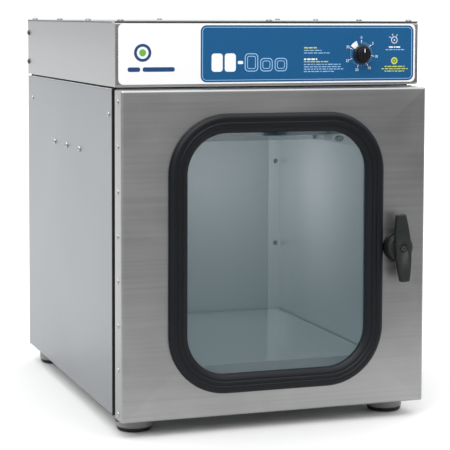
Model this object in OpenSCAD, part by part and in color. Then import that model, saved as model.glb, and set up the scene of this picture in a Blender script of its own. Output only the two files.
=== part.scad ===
// Benchtop ultraviolet sterilizer cabinet.
// A stainless single-wall chamber on four feet carries a control head. A hinged door with a
// rubber-framed window closes the front, and a wing latch holds it. Two ultraviolet tubes hang
// under a reflector tray at the top of the chamber.
// Millimetres, +Z up, -Y is the front, origin on the floor under the middle of the cabinet.

/* [Cabinet] */
// Width of the chamber, the head and the door
body_w = 375; // [360:1:400]
// Height of the chamber's outside
body_h = 376.5; // [370:0.5:390]
// Depth from the front frame to the outside of the back panel
body_d = 440.5; // [420:0.5:460]
// Thickness of the stainless sheet
sheet = 1.2; // [1:0.1:1.5]
// Height of the chamber's underside above the bench
foot_h = 20; // [18:0.5:26]
// Diameter of a foot
foot_d = 43; // [36:1:46]

/* [Front frame and floor] */
// Width of the front opening
mouth_w = 251; // [230:1:260]
// Height of the front opening
mouth_h = 273; // [250:1:276]
// Height of the bottom rail of the front frame
sill_h = 51; // [46:1:56]
// Height of the chamber floor above the underside
floor_h = 30; // [24:1:36]

/* [Control head] */
// Height of the head with its lid
head_h = 75; // [72:1:90]
// How far the head stands out in front of the front frame
head_reach = 15; // [10:0.5:20]
// Thickness of the foam strip under the head
foam_h = 2; // [1:0.5:3]

/* [Door] */
// Height of the door
door_h = 377; // [370:0.5:380]
// Thickness of the door
door_t = 26.5; // [24:0.5:30]
// Room between the closed door and the front frame
seal_gap = 13; // [12:0.5:15]
// Radius of the hinge barrel
barrel_r = 2.4; // [2.2:0.1:2.6]
// Radius of the hinge pin
pin_r = 1.25; // [1:0.05:1.4]

/* [Window] */
// Width of the rubber window frame, outside
rubber_w = 265; // [255:1:275]
// Height of the rubber window frame, outside
rubber_h = 323; // [310:1:330]
// Corner radius of the rubber window frame, outside
rubber_r = 70; // [60:1:80]
// Width of the rubber's section
rubber_t = 22.3; // [20:0.1:24]
// Thickness of the window pane
pane_t = 4; // [3:0.5:5]

/* [Latch] */
// Distance of the latch from the door's right edge
latch_in = 36; // [35:0.5:38]
// Length of the wing
wing_l = 80; // [70:1:90]
// Distance from the door's face to the wing's face
wing_out = 20.5; // [19:0.5:24]
// Turn of the released wing from upright
wing_tilt = 4; // [0:0.5:5]

/* [Lamps] */
// Length of a lamp tube between its faces
tube_l = 288; // [280:1:300]
// Diameter of a lamp tube
tube_d = 16; // [15:0.5:17]

/* [Hidden] */
$fn = 48;

// Small clearances: round fits that turn, and holes around fasteners
run_c = 0.05;
hole_c = 0.1;

// Fasteners
screw_r = 1.9;
screw_head_r = 3.8;
screw_head_h = 2.4;
rivet_r = 1.6;
rivet_head_r = 3.4;
rivet_head_h = 1.5;
hole_r = screw_r + hole_c;
rivet_hole_r = rivet_r + hole_c;

// Main planes
w2 = body_w / 2;
inlet_proud = 3;
overall_d = wing_out + door_t + seal_gap + body_d + inlet_proud + screw_head_h;
door_y = wing_out - overall_d / 2;
door_back_y = door_y + door_t;
frame_y = door_back_y + seal_gap;
back_y = frame_y + body_d;
head_y = frame_y - head_reach;
base_z = foot_h;
top_z = base_z + body_h;
head_z = top_z + foam_h;
lid_z = head_z + head_h - sheet;
door_z = base_z - 1;
inner_w2 = w2 - sheet;
in_back_y = back_y - 2 * sheet;

// Side panels and what is fastened to them
edge_flange = 7;
rear_flange = 19;
corner_rivet_y = [frame_y + 14.8, back_y - 26.8];
corner_rivet_z = top_z - 30;
tray_screw_y = [for (i = [-1, 0, 1]) frame_y + 215.5 + 65 * i];
tray_screw_z = base_z + 296.5;
back_rivet_z = [for (i = [0:2]) base_z + 127 + 120.6 * i];
back_rivet_x = w2 - 8;

// Feet
foot_x = w2 - 28.5;
foot_y = [door_y + 48.7, door_y + 443.9];
pad_h = 5;
foot_bolt_r = 3;
foot_boss_r = 7.5;

// Floor, ceiling and lamps
floor_z = base_z + floor_h;
deck_flange = 38;
tray_z = base_z + 321;
tray_drop = 12;
tray_d = 176;
tray_mid_y = tray_screw_y[1];
lamp_y = [tray_mid_y - 40, tray_mid_y + 40];
lamp_z = tray_z - 14;
cap_l = 11;
holder_t = 12;

// Head
lid_flange = 14;
lid_row_y = [head_y + 8, head_y + 155, head_y + 302, head_y + 447.5];
lid_row_x = w2 - 8.5;
head_screw_z = [head_z + 17.5, head_z + 57];
overlay_t = 0.5;
overlay_w = 368;
overlay_h = 69;
overlay_z = head_z + 37.5;
timer_x = w2 - 73.5;
timer_z = overlay_z - 1.3;
timer_shaft_r = 3;
bushing_r = 5;
knob_r = 11;
knob_h = 9;
inlet_x = 120;
inlet_z = head_z + 36;
inlet_screw_x = 20;

// Hinge: knuckles of half an inch, rivets two inches apart, fifteen inches long
inch = 25.4;
knuckle_l = inch / 2;
knuckles = 30;
knuckle_gap = 0.3;
barrel_gap = 2.4;
leaf_t = sheet;
hinge_l = knuckles * knuckle_l;
hinge_z = door_z - 4.5;
hinge_x = -w2 + sheet + barrel_r;
hinge_y = door_back_y + barrel_gap + barrel_r;
leaf_w = inch;
hinge_rivet_y = door_y + 14.5;
hinge_rivet_z = [for (i = [0:7]) hinge_z + inch / 2 + 2 * inch * i];

// Window and seal
win_z = door_z + door_h / 2 - 0.3;
lip_front = 7;
lip_back = 8;
skin_in = 9;
pane_in = 14;
strip_in = 10;
strip_w = 4.5;
pane_y = door_y - 1.5;
inner_hole_w = 263;
inner_hole_h = 297;
seal_w = 287;
seal_h = 317;
seal_t = 11;
seal_clear = 0.4;

// Latch
latch_x = w2 - latch_in;
latch_z = door_z + 188;
shaft_r = 4;
plate_r = 18.5;
plate_t = 4;
hub_r = 16.5;
wing_t = 8.5;
wing_mid = 9.8;
wing_end = 5.3;
wing_flat = 13;
cam_y = frame_y - 8;
cam_t = 3;
cam_l = 24;
cam_w = 9;
nut_h = 3.2;
keeper_h = 28;
keeper_t = 1.5;
keeper_tab_y = frame_y - 10.2;
keeper_x = [latch_x + 12, latch_x + 31];
keeper_screw_z = [latch_z - 9, latch_z + 9];
keeper_screw_x = latch_x + 22;

// A block between two opposite corners
module block(a, b) {
  translate(a) cube(b - a);
}

// Round bars along each axis
module rod_x(r, x0, x1, y, z) {
  translate([x0, y, z]) rotate([0, 90, 0]) cylinder(r = r, h = x1 - x0);
}
module rod_y(r, x, y0, y1, z) {
  translate([x, y0, z]) rotate([-90, 0, 0]) cylinder(r = r, h = y1 - y0);
}
module rod_z(r, x, y, z0, z1) {
  translate([x, y, z0]) cylinder(r = r, h = z1 - z0);
}

// A flat outline drawn in the XZ plane, thickened from y0 to y1
module slab_y(y0, y1) {
  translate([0, y1, 0]) rotate([90, 0, 0]) linear_extrude(y1 - y0) children();
}

// A rectangle with round corners, centred
module round_rect(w, h, r) {
  square([w - 2 * r, h], center = true);
  square([w, h - 2 * r], center = true);
  for (x = [-1, 1], y = [-1, 1]) translate([x * (w / 2 - r), y * (h / 2 - r)]) circle(r);
}

// The window rubber's outline, moved inwards
module window_outline(inset) {
  translate([0, win_z]) round_rect(rubber_w - 2 * inset, rubber_h - 2 * inset, rubber_r - inset);
}

// Both sides of the cabinet, for pieces that repeat left and right
module both_sides() {
  children();
  mirror([1, 0, 0]) children();
}

// A pan-head screw whose shank points along -Z from the origin
module pan_screw(length) {
  translate([0, 0, -length]) cylinder(r = screw_r, h = length + 0.2);
  difference() {
    cylinder(r1 = screw_head_r, r2 = screw_head_r * 0.72, h = screw_head_h);
    for (a = [0, 90]) rotate(a) translate([-2.2, -0.45, screw_head_h - 1]) cube([4.4, 0.9, 2]);
  }
}

// A blind rivet whose shank points along -Z from the origin
module blind_rivet(length) {
  translate([0, 0, -length]) cylinder(r = rivet_r, h = length + 0.2);
  difference() {
    cylinder(r1 = rivet_head_r, r2 = rivet_head_r * 0.55, h = rivet_head_h);
    translate([0, 0, rivet_head_h - 0.6]) cylinder(r = 0.9, h = 2);
  }
}

// ---- Chamber ----

module side_panel() {
  difference() {
    union() {
      block([inner_w2, frame_y + sheet, base_z], [w2, back_y - sheet, top_z]);
      block([w2 - rear_flange, in_back_y, base_z], [w2, back_y - sheet, top_z]);
      for (z = [base_z, top_z - sheet])
        block([w2 - edge_flange, frame_y + sheet, z], [w2, back_y - sheet, z + sheet]);
    }
    for (y = corner_rivet_y) rod_x(rivet_hole_r, w2 - 9, w2 + 1, y, corner_rivet_z);
    for (y = tray_screw_y) rod_x(hole_r, w2 - 9, w2 + 1, y, tray_screw_z);
    for (z = back_rivet_z) rod_y(rivet_hole_r, back_rivet_x, in_back_y - 1, back_y, z);
  }
}

module left_side_panel() {
  color("silver") mirror([1, 0, 0]) side_panel();
}

module right_side_panel() {
  color("silver") side_panel();
}

module back_panel() {
  color("silver") difference() {
    block([-w2, back_y - sheet, base_z], [w2, back_y, top_z]);
    both_sides() for (z = back_rivet_z) rod_y(rivet_hole_r, back_rivet_x, back_y - 2, back_y + 1, z);
  }
}

module base_pan() {
  lip = 12;
  z0 = base_z + sheet;
  color("silver") difference() {
    union() {
      block([-inner_w2 + hole_c, frame_y + sheet, z0], [inner_w2 - hole_c, in_back_y, z0 + sheet]);
      for (y = [frame_y + sheet, in_back_y - sheet])
        block([-inner_w2 + 3 * sheet, y, z0], [inner_w2 - 3 * sheet, y + sheet, z0 + lip]);
    }
    both_sides() for (y = foot_y) rod_z(foot_bolt_r + hole_c, foot_x, y, base_z, z0 + 5);
  }
}

module chamber_floor() {
  y0 = frame_y + 3 * sheet;
  y1 = in_back_y - 2 * sheet;
  side = inner_w2 - 2 * sheet;
  color("silver") {
    block([-side, y0, floor_z - sheet], [side, y1, floor_z]);
    both_sides() block([side - sheet, y0, base_z + 2 * sheet], [side, y1, floor_z - sheet / 2]);
  }
}

module top_deck() {
  z1 = top_z - sheet;
  side = inner_w2 - hole_c;
  color("silver") difference() {
    union() {
      block([-side, frame_y + sheet, z1 - sheet], [side, in_back_y, z1]);
      both_sides() block([side - sheet, frame_y + 2 * sheet + 18, z1 - deck_flange], [side, in_back_y - 20, z1]);
      both_sides() block([side - sheet, frame_y + 2 * sheet + 4, z1 - deck_flange], [side, frame_y + 30, z1]);
      both_sides() block([side - sheet, in_back_y - 40, z1 - deck_flange], [side, in_back_y - 4, z1]);
    }
    both_sides() for (y = corner_rivet_y) rod_x(rivet_hole_r, side - 9, w2, y, corner_rivet_z);
    for (x = [-60, 60]) rod_z(5, x, tray_mid_y + 60, z1 - 5, z1 + 5);
  }
}

module front_frame() {
  color("silver") difference() {
    block([-w2, frame_y, base_z], [w2, frame_y + sheet, top_z]);
    block([-mouth_w / 2, frame_y - 1, base_z + sill_h], [mouth_w / 2, frame_y + 5, base_z + sill_h + mouth_h]);
    for (z = keeper_screw_z) rod_y(hole_r, keeper_screw_x, frame_y - 1, frame_y + 5, z);
  }
}

module foot_cups() {
  color("darkgray") both_sides() for (y = foot_y) difference() {
    union() {
      rod_z(foot_d / 2, foot_x, y, pad_h, base_z - 2);
      translate([foot_x, y, base_z - 2]) cylinder(r1 = foot_d / 2, r2 = foot_d / 2 - 1.5, h = 2);
      rod_z(foot_boss_r, foot_x, y, base_z - 1, base_z + sheet);
    }
    rod_z(foot_bolt_r + hole_c, foot_x, y, 0, base_z + 5);
    rod_z(7, foot_x, y, 0, pad_h + 4);
  }
}

module foot_pads() {
  color("black") both_sides() for (y = foot_y) difference() {
    union() {
      translate([foot_x, y, 0]) cylinder(r1 = foot_d / 2 - 3.5, r2 = foot_d / 2 - 0.5, h = 3);
      rod_z(foot_d / 2 - 0.5, foot_x, y, 3, pad_h);
    }
    rod_z(7, foot_x, y, -1, pad_h + 1);
  }
}

module foot_bolts() {
  color("gray") both_sides() for (y = foot_y) {
    rod_z(foot_bolt_r, foot_x, y, pad_h + 1, base_z + 2 * sheet + 6.4);
    rod_z(5.6, foot_x, y, pad_h, pad_h + 3.9);
    translate([foot_x, y, base_z + 2 * sheet]) cylinder(r = 5.8, h = 5, $fn = 6);
  }
}

// ---- Lamps ----

module lamp_tray() {
  side = inner_w2 - hole_c;
  y0 = tray_mid_y - tray_d / 2;
  y1 = tray_mid_y + tray_d / 2;
  color("silver") difference() {
    union() {
      block([-side, y0, tray_z - sheet], [side, y1, tray_z]);
      for (y = [y0, y1 - sheet]) block([-side, y, tray_z - tray_drop], [side, y + sheet, tray_z]);
      both_sides() block([side - sheet, tray_mid_y - 80, tray_screw_z - 6.5], [side, tray_mid_y + 80, tray_z]);
    }
    both_sides() for (y = tray_screw_y) rod_x(hole_r, side - 9, w2, y, tray_screw_z);
    for (x = [-60, 60]) rod_z(5, x, tray_mid_y + 60, tray_z - 5, tray_z + 5);
  }
}

module uv_tube(y) {
  color("lightcyan") rod_x(tube_d / 2 - 0.4, -tube_l / 2 + cap_l, tube_l / 2 - cap_l, y, lamp_z);
}

module uv_tube_front() {
  uv_tube(lamp_y[0]);
}

module uv_tube_rear() {
  uv_tube(lamp_y[1]);
}

module lamp_caps() {
  color("gainsboro") both_sides() for (y = lamp_y) {
    rod_x(tube_d / 2, tube_l / 2 - cap_l, tube_l / 2, y, lamp_z);
    for (a = [-1, 1]) rod_x(1.1, tube_l / 2 - 1, tube_l / 2 + 6.5, y, lamp_z + 2.4 * a);
  }
}

module lamp_holders() {
  x0 = tube_l / 2 + 0.2;
  for (y = lamp_y) difference() {
    union() {
      block([x0, y - 9, lamp_z + 1], [x0 + holder_t, y + 9, tray_z - sheet]);
      rod_x(9, x0, x0 + holder_t, y, lamp_z + 0.5);
    }
    for (a = [-1, 1]) rod_x(1.3, x0 - 1, x0 + 7.5, y, lamp_z + 2.4 * a);
  }
}

module lamp_holders_left() {
  color("white") mirror([1, 0, 0]) lamp_holders();
}

module lamp_holders_right() {
  color("white") lamp_holders();
}

module tray_screws() {
  color("silver") both_sides() for (y = tray_screw_y)
    translate([w2, y, tray_screw_z]) rotate([0, 90, 0]) pan_screw(6);
}

module tray_cap_nuts() {
  x1 = inner_w2 - hole_c - sheet;
  color("silver") both_sides() for (y = tray_screw_y) difference() {
    union() {
      translate([x1 - 3, y, tray_screw_z]) rotate([0, 90, 0]) cylinder(r = 4, h = 3, $fn = 6);
      translate([x1 - 3, y, tray_screw_z]) intersection() {
        sphere(r = 3.3);
        block([-9, -9, -9], [0, 9, 9]);
      }
    }
    rod_x(screw_r + hole_c, x1 - 4, x1 + 1, y, tray_screw_z);
  }
}

module side_rivets() {
  color("silver") both_sides() for (y = corner_rivet_y)
    translate([w2, y, corner_rivet_z]) rotate([0, 90, 0]) blind_rivet(5);
}

module back_rivets() {
  color("silver") both_sides() for (z = back_rivet_z)
    translate([back_rivet_x, in_back_y, z]) rotate([90, 0, 0]) blind_rivet(4);
}

// ---- Control head ----

module head_foam_strip() {
  color("black") difference() {
    block([-w2 + 4, head_y + 20, top_z], [w2 - 4, back_y - 4, head_z]);
    block([-w2 + 14, head_y + 30, top_z - 1], [w2 - 14, back_y - 14, head_z + 1]);
  }
}

module head_base() {
  x1 = inner_w2 - hole_c;
  color("silver") difference() {
    block([-x1, head_y + sheet, head_z], [x1, back_y - sheet, head_z + sheet]);
    for (x = [-60, 60]) rod_z(5, x, tray_mid_y + 60, head_z - 5, head_z + 5);
  }
}

module head_side() {
  difference() {
    union() {
      block([inner_w2, head_y + sheet, head_z], [w2, back_y - sheet, lid_z]);
      block([w2 - lid_flange, head_y + 2 * sheet, lid_z - sheet], [w2, back_y - 2 * sheet, lid_z]);
    }
    for (y = lid_row_y) rod_z(hole_r, lid_row_x, y, lid_z - 5, lid_z + 5);
    for (z = head_screw_z) rod_x(hole_r, w2 - 5, w2 + 1, back_y - 6, z);
  }
}

module head_left_side() {
  color("silver") mirror([1, 0, 0]) head_side();
}

module head_right_side() {
  color("silver") head_side();
}

module head_front() {
  color("silver") difference() {
    union() {
      block([-w2, head_y, head_z], [w2, head_y + sheet, lid_z]);
      block([-w2 + 2 * lid_flange, head_y, lid_z - sheet], [w2 - 2 * lid_flange, head_y + lid_flange, lid_z]);
    }
    rod_z(hole_r, 0, head_y + 8, lid_z - 5, lid_z + 5);
    rod_y(bushing_r + hole_c, timer_x, head_y - 1, head_y + 5, timer_z);
  }
}

module head_back() {
  tab = 14;
  color("silver") difference() {
    union() {
      block([-w2, back_y - sheet, head_z], [w2, back_y, lid_z]);
      block([-w2 + 2 * lid_flange, back_y - lid_flange, lid_z - sheet], [w2 - 2 * lid_flange, back_y, lid_z]);
      both_sides() block([inner_w2 - 2 * sheet, back_y - tab, head_z + 8], [inner_w2 - sheet, back_y, lid_z - 8]);
    }
    rod_z(hole_r, 0, back_y - 8, lid_z - 5, lid_z + 5);
    both_sides() for (z = head_screw_z) rod_x(hole_r, w2 - 9, w2 + 1, back_y - 6, z);
    block([inlet_x - 14, back_y - 5, inlet_z - 10], [inlet_x + 14, back_y + 1, inlet_z + 10]);
    for (a = [-1, 1]) rod_y(hole_r, inlet_x + a * inlet_screw_x, back_y - 5, back_y + 1, inlet_z);
  }
}

module lid_screw_places() {
  both_sides() for (y = lid_row_y) translate([lid_row_x, y, lid_z + sheet]) children();
  for (y = [head_y + 8, back_y - 8]) translate([0, y, lid_z + sheet]) children();
}

module head_lid() {
  color("silver") difference() {
    block([-w2, head_y, lid_z], [w2, back_y, lid_z + sheet]);
    lid_screw_places() translate([0, 0, -5]) cylinder(r = hole_r, h = 9);
  }
}

module lid_screws() {
  color("silver") lid_screw_places() pan_screw(7);
}

module head_side_screws() {
  color("dimgray") both_sides() for (z = head_screw_z)
    translate([w2, back_y - 6, z]) rotate([0, 90, 0]) pan_screw(6);
}

module control_overlay() {
  color("steelblue") difference() {
    slab_y(head_y - overlay_t, head_y) translate([0, overlay_z]) round_rect(overlay_w, overlay_h, 6);
    rod_y(bushing_r + 2, timer_x, head_y - 1, head_y + 1, timer_z);
  }
}

// ---- Electrical pieces in the head ----

module timer_body() {
  y0 = head_y + sheet;
  color("ivory") difference() {
    union() {
      block([timer_x - 24, y0, timer_z - 24], [timer_x + 24, y0 + 40, timer_z + 24]);
      rod_y(bushing_r, timer_x, head_y - 1.5, y0 + 1, timer_z);
    }
    rod_y(timer_shaft_r + run_c, timer_x, head_y - 2, y0 + 20, timer_z);
  }
}

module timer_shaft() {
  color("gray") rod_y(timer_shaft_r, timer_x, head_y - 8, head_y + sheet + 18, timer_z);
}

module timer_knob() {
  y0 = head_y - 2;
  color("black") difference() {
    union() {
      rod_y(knob_r, timer_x, y0 - 2.5, y0, timer_z);
      translate([timer_x, y0 - 2, timer_z]) rotate([90, 0, 0]) cylinder(r1 = 8.6, r2 = 7.6, h = knob_h - 2);
    }
    rod_y(timer_shaft_r, timer_x, head_y - 8, y0 + 1, timer_z);
  }
}

module ballast() {
  z0 = head_z + sheet;
  color("white") {
    block([-110, tray_mid_y - 22, z0], [30, tray_mid_y + 18, z0 + 30]);
    block([-122, tray_mid_y - 22, z0], [42, tray_mid_y + 18, z0 + 1.5]);
  }
}

module terminal_block() {
  z0 = head_z + sheet;
  color("beige") for (i = [0:4])
    block([62 + 9.5 * i, tray_mid_y + 96, z0], [71 + 9.5 * i, tray_mid_y + 116, z0 + 15]);
}

// A wire along a list of points, mitred at its bends: each ring of the tube is the ring before it
// slid along the leg until it lies in the plane that halves the bend
wire_sides = 8;
function unit(v) = v / norm(v);
function slide_ring(ring, p, leg, normal) = [for (q = ring) q + leg * ((p - q) * normal) / (leg * normal)];
function first_ring(p, leg, r) =
  let (side = unit(cross(leg, [0.31, 0.52, 0.79])), up = cross(leg, side))
  [for (k = [0:wire_sides - 1]) p + r * (cos(k * 360 / wire_sides) * side + sin(k * 360 / wire_sides) * up)];
function more_rings(points, i, ring) =
  i == len(points) ? [] :
  let (
    leg = unit(points[i] - points[i - 1]),
    next = i + 1 < len(points) ? unit(points[i + 1] - points[i]) : leg,
    here = slide_ring(ring, points[i], leg, unit(leg + next))
  )
  concat(here, more_rings(points, i + 1, here));

module wire(points, r) {
  n = wire_sides;
  last = len(points) - 1;
  start = first_ring(points[0], unit(points[1] - points[0]), r);
  sides = [for (i = [0:last - 1], k = [0:n - 1])
    [i * n + k, i * n + (k + 1) % n, (i + 1) * n + (k + 1) % n, (i + 1) * n + k]];
  ends = [[for (k = [n - 1:-1:0]) k], [for (k = [0:n - 1]) last * n + k]];
  polyhedron(concat(start, more_rings(points, 1, start)), concat(sides, ends));
}

module wiring() {
  z0 = head_z + sheet + 3;
  terminal_y = [tray_mid_y + 95.8, tray_mid_y + 116.2];
  color("dimgray") {
    for (i = [0:2]) {
      x = inlet_x - 7 + 7 * i;
      wire([[x, back_y - 24.7, inlet_z - 2], [x, back_y - 40 - 6 * i, inlet_z - 2],
            [66.5 + 9.5 * i, terminal_y[1] + 14, z0 + 5], [66.5 + 9.5 * i, terminal_y[1], z0 + 5]], 1.6);
    }
    for (i = [0, 1])
      wire([[85.5 + 9.5 * i, terminal_y[0], z0 + 5], [85.5 + 9.5 * i, terminal_y[0] - 20, z0 + 5],
            [timer_x - 8 + 12 * i, head_y + 90, timer_z], [timer_x - 8 + 12 * i, head_y + sheet + 40.2, timer_z]], 1.6);
    for (i = [0, 1])
      wire([[66.5 + 9.5 * i, terminal_y[0], z0 + 5], [66.5 + 9.5 * i, terminal_y[0] - 28, z0 + 5],
            [60, tray_mid_y + 8 - 12 * i, z0 + 12], [30.2, tray_mid_y + 8 - 12 * i, z0 + 12]], 1.6);
    for (x = [-60, 60]) {
      y = tray_mid_y + 60;
      wire([[x / 3, tray_mid_y + 18.2, z0 + 16], [x / 3, y - 20, z0 + 16], [x, y, z0 + 8],
            [x, y, tray_z - 8], [x * 2.2, y - 8, tray_z - 8]], 2);
    }
  }
}

module inlet_socket() {
  color("black") difference() {
    union() {
      block([inlet_x - 25, back_y, inlet_z - 14], [inlet_x + 25, back_y + inlet_proud, inlet_z + 14]);
      block([inlet_x - 13.8, back_y - 21, inlet_z - 9.8], [inlet_x + 13.8, back_y + 1, inlet_z + 9.8]);
    }
    block([inlet_x - 12.2, back_y - 16, inlet_z - 8.5], [inlet_x + 12.2, back_y + 9, inlet_z + 8.5]);
    for (a = [-1, 1]) rod_y(hole_r, inlet_x + a * inlet_screw_x, back_y - 1, back_y + 9, inlet_z);
    for (p = [[-7, -2], [0, 2], [7, -2]])
      block([inlet_x + p[0] - 1, back_y - 25, inlet_z + p[1] - 2], [inlet_x + p[0] + 1, back_y - 5, inlet_z + p[1] + 2]);
  }
}

module inlet_pins() {
  color("gainsboro") for (p = [[-7, -2], [0, 2], [7, -2]])
    block([inlet_x + p[0] - 1, back_y - 24.5, inlet_z + p[1] - 2], [inlet_x + p[0] + 1, back_y - 1.5, inlet_z + p[1] + 2]);
}

module panel_screws() {
  color("silver") {
    for (a = [-1, 1]) translate([inlet_x + a * inlet_screw_x, back_y + inlet_proud, inlet_z]) rotate([-90, 0, 0]) pan_screw(8);
    for (z = keeper_screw_z) translate([keeper_screw_x, frame_y - keeper_t, z]) rotate([90, 0, 0]) pan_screw(6);
  }
}

// ---- Hinge, keeper and interlock on the frame ----

module hinge_leaf_knuckles(first) {
  for (i = [first:2:knuckles - 1]) {
    z0 = hinge_z + i * knuckle_l + knuckle_gap / 2;
    rod_z(barrel_r, hinge_x, hinge_y, z0, z0 + knuckle_l - knuckle_gap);
  }
}

module hinge_body_leaf() {
  x1 = hinge_x + leaf_w;
  arm_x = hinge_x + barrel_r;
  plate_z = base_z + 1;
  color("gray") difference() {
    union() {
      hinge_leaf_knuckles(0);
      block([arm_x + 0.8, frame_y - leaf_t, plate_z], [x1, frame_y, hinge_z + hinge_l]);
      for (i = [0:2:knuckles - 1]) {
        z0 = max(plate_z, hinge_z + i * knuckle_l + knuckle_gap / 2);
        z1 = hinge_z + (i + 1) * knuckle_l - knuckle_gap / 2;
        block([arm_x - leaf_t, frame_y - leaf_t, z0], [x1 - 5, frame_y, z1]);
        block([arm_x - leaf_t, hinge_y, z0], [arm_x, frame_y, z1]);
      }
    }
    rod_z(pin_r + run_c, hinge_x, hinge_y, hinge_z - 1, hinge_z + hinge_l + 1);
  }
}

module hinge_pin() {
  color("gray") rod_z(pin_r, hinge_x, hinge_y, hinge_z, hinge_z + hinge_l);
}

module keeper() {
  z0 = latch_z - keeper_h / 2;
  z1 = latch_z + keeper_h / 2;
  color("silver") difference() {
    union() {
      block([keeper_x[0], keeper_tab_y, z0], [keeper_x[1], keeper_tab_y + keeper_t, z1]);
      block([keeper_x[1] - keeper_t, keeper_tab_y, z0], [keeper_x[1], frame_y, z1]);
      block([keeper_x[0] + 4, frame_y - keeper_t, z0], [keeper_x[1], frame_y, z1]);
    }
    for (z = keeper_screw_z) rod_y(hole_r, keeper_screw_x, frame_y - 5, frame_y + 5, z);
    for (z = keeper_screw_z) rod_y(screw_head_r + 0.6, keeper_screw_x, keeper_tab_y - 1, keeper_tab_y + keeper_t + 1, z);
  }
}

module interlock_sensor() {
  color("white") block([-16, frame_y - 4.5, door_z + 353], [16, frame_y, door_z + 364]);
}

module interlock_magnet() {
  color("white") block([-14, door_back_y, door_z + 354], [14, frame_y - 6, door_z + 363]);
}

// ---- Door ----

module door_skin() {
  x1 = w2;
  z1 = door_z + door_h;
  color("silver") difference() {
    block([-x1, door_y, door_z], [x1, door_back_y, z1]);
    block([-x1 + sheet, door_y + sheet, door_z + sheet], [x1 - sheet, door_back_y + 1, z1 - sheet]);
    slab_y(door_y - 1, door_y + 9) window_outline(skin_in);
    rod_y(shaft_r + 2, latch_x, door_y - 1, door_y + 9, latch_z);
    for (z = hinge_rivet_z) rod_x(rivet_hole_r, -w2 - 1, -w2 + 5, hinge_rivet_y, z);
  }
}

module door_inner_panel() {
  edge = sheet + hole_c;
  color("silver") difference() {
    block([-w2 + edge + leaf_t, door_back_y - sheet, door_z + edge], [w2 - edge, door_back_y, door_z + door_h - edge]);
    slab_y(door_back_y - 5, door_back_y + 5) translate([0, win_z]) round_rect(inner_hole_w, inner_hole_h, 40);
    rod_y(shaft_r + 2, latch_x, door_back_y - 5, door_back_y + 5, latch_z);
  }
}

module door_seal() {
  y1 = frame_y - seal_clear;
  color("black") slab_y(door_back_y, y1) translate([0, win_z]) difference() {
    round_rect(seal_w, seal_h, 30);
    round_rect(seal_w - 2 * seal_t, seal_h - 2 * seal_t, 30 - seal_t);
  }
}

module window_rubber() {
  color("black") difference() {
    union() {
      slab_y(door_y - lip_front, door_y + lip_back) window_outline(2.5);
      slab_y(door_y - lip_front + 2.5, door_y + lip_back - 2) window_outline(0);
    }
    slab_y(door_y - lip_front - 1, door_y + lip_back + 1) window_outline(rubber_t);
    slab_y(door_y, door_y + sheet) difference() {
      window_outline(-5);
      window_outline(skin_in + hole_c);
    }
    slab_y(pane_y, pane_y + pane_t) window_outline(pane_in);
    slab_y(door_y - lip_front - 1, door_y - lip_front + 3) difference() {
      window_outline(strip_in);
      window_outline(strip_in + strip_w);
    }
  }
}

module window_locking_strip() {
  color("black") slab_y(door_y - lip_front - 0.6, door_y - lip_front + 3) difference() {
    window_outline(strip_in);
    window_outline(strip_in + strip_w);
  }
}

module window_pane() {
  color("lightblue") slab_y(pane_y, pane_y + pane_t) window_outline(pane_in);
}

module hinge_door_leaf() {
  x0 = -w2 + sheet;
  edge = sheet + hole_c;
  color("gray") difference() {
    union() {
      hinge_leaf_knuckles(1);
      block([x0, hinge_rivet_y - 7, door_z + edge], [x0 + leaf_t, door_back_y + 1, door_z + door_h - edge]);
      for (i = [1:2:knuckles - 1]) {
        z0 = hinge_z + i * knuckle_l + knuckle_gap / 2;
        block([x0, door_back_y, z0], [x0 + leaf_t, hinge_y, z0 + knuckle_l - knuckle_gap]);
      }
    }
    rod_z(pin_r + run_c, hinge_x, hinge_y, hinge_z - 1, hinge_z + hinge_l + 1);
    for (z = hinge_rivet_z) rod_x(rivet_hole_r, x0 - 1, x0 + 5, hinge_rivet_y, z);
  }
}

module hinge_rivets() {
  color("silver") for (z = hinge_rivet_z)
    translate([-w2, hinge_rivet_y, z]) rotate([0, -90, 0]) blind_rivet(5);
}

// ---- Latch ----

module latch_escutcheon() {
  color("black") difference() {
    union() {
      translate([latch_x, door_y, latch_z]) rotate([90, 0, 0]) cylinder(r1 = plate_r, r2 = plate_r - 1, h = plate_t);
      rod_y(shaft_r + 1.9, latch_x, door_y - 1, door_back_y + 1, latch_z);
    }
    rod_y(shaft_r + run_c, latch_x, door_y - 9, door_back_y + 9, latch_z);
  }
}

// The wing's outline from the front, released position
module wing_outline() {
  half = [[wing_end, -wing_l / 2], [wing_mid, -wing_flat], [wing_mid, wing_flat], [wing_end, wing_l / 2]];
  polygon(concat(half, [for (p = half) -p]));
}

module at_latch() {
  translate([latch_x, 0, latch_z]) rotate([0, -wing_tilt, 0]) children();
}

module latch_wing() {
  y0 = door_y - wing_out;
  y1 = door_y - plate_t - 0.3;
  color("black") at_latch() difference() {
    union() {
      slab_y(y0, y0 + wing_t) wing_outline();
      translate([0, y1, 0]) rotate([90, 0, 0]) cylinder(r1 = hub_r, r2 = hub_r - 1.5, h = y1 - y0 - wing_t + 1);
    }
    rod_y(5, 0, y0 - 1, y0 + 2, 0);
    rod_y(shaft_r, 0, y0 + 6, y1 + 1, 0);
    rod_y(2.1, 0, y0, y0 + 7, 0);
  }
}

module latch_shaft() {
  color("gray") at_latch() difference() {
    rod_y(shaft_r, 0, door_y - wing_out + 6, cam_y + cam_t + nut_h + 1, 0);
    rod_y(2.1, 0, door_y - wing_out, door_y - 2, 0);
  }
}

module latch_screw() {
  y0 = door_y - wing_out;
  color("silver") at_latch() difference() {
    union() {
      rod_y(2, 0, y0 + 2, y0 + 14, 0);
      rod_y(3.6, 0, y0 + 0.4, y0 + 2, 0);
    }
    translate([0, y0 - 1, 0]) rotate([-90, 0, 0]) cylinder(r = 1.7, h = 2.4, $fn = 6);
  }
}

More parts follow.
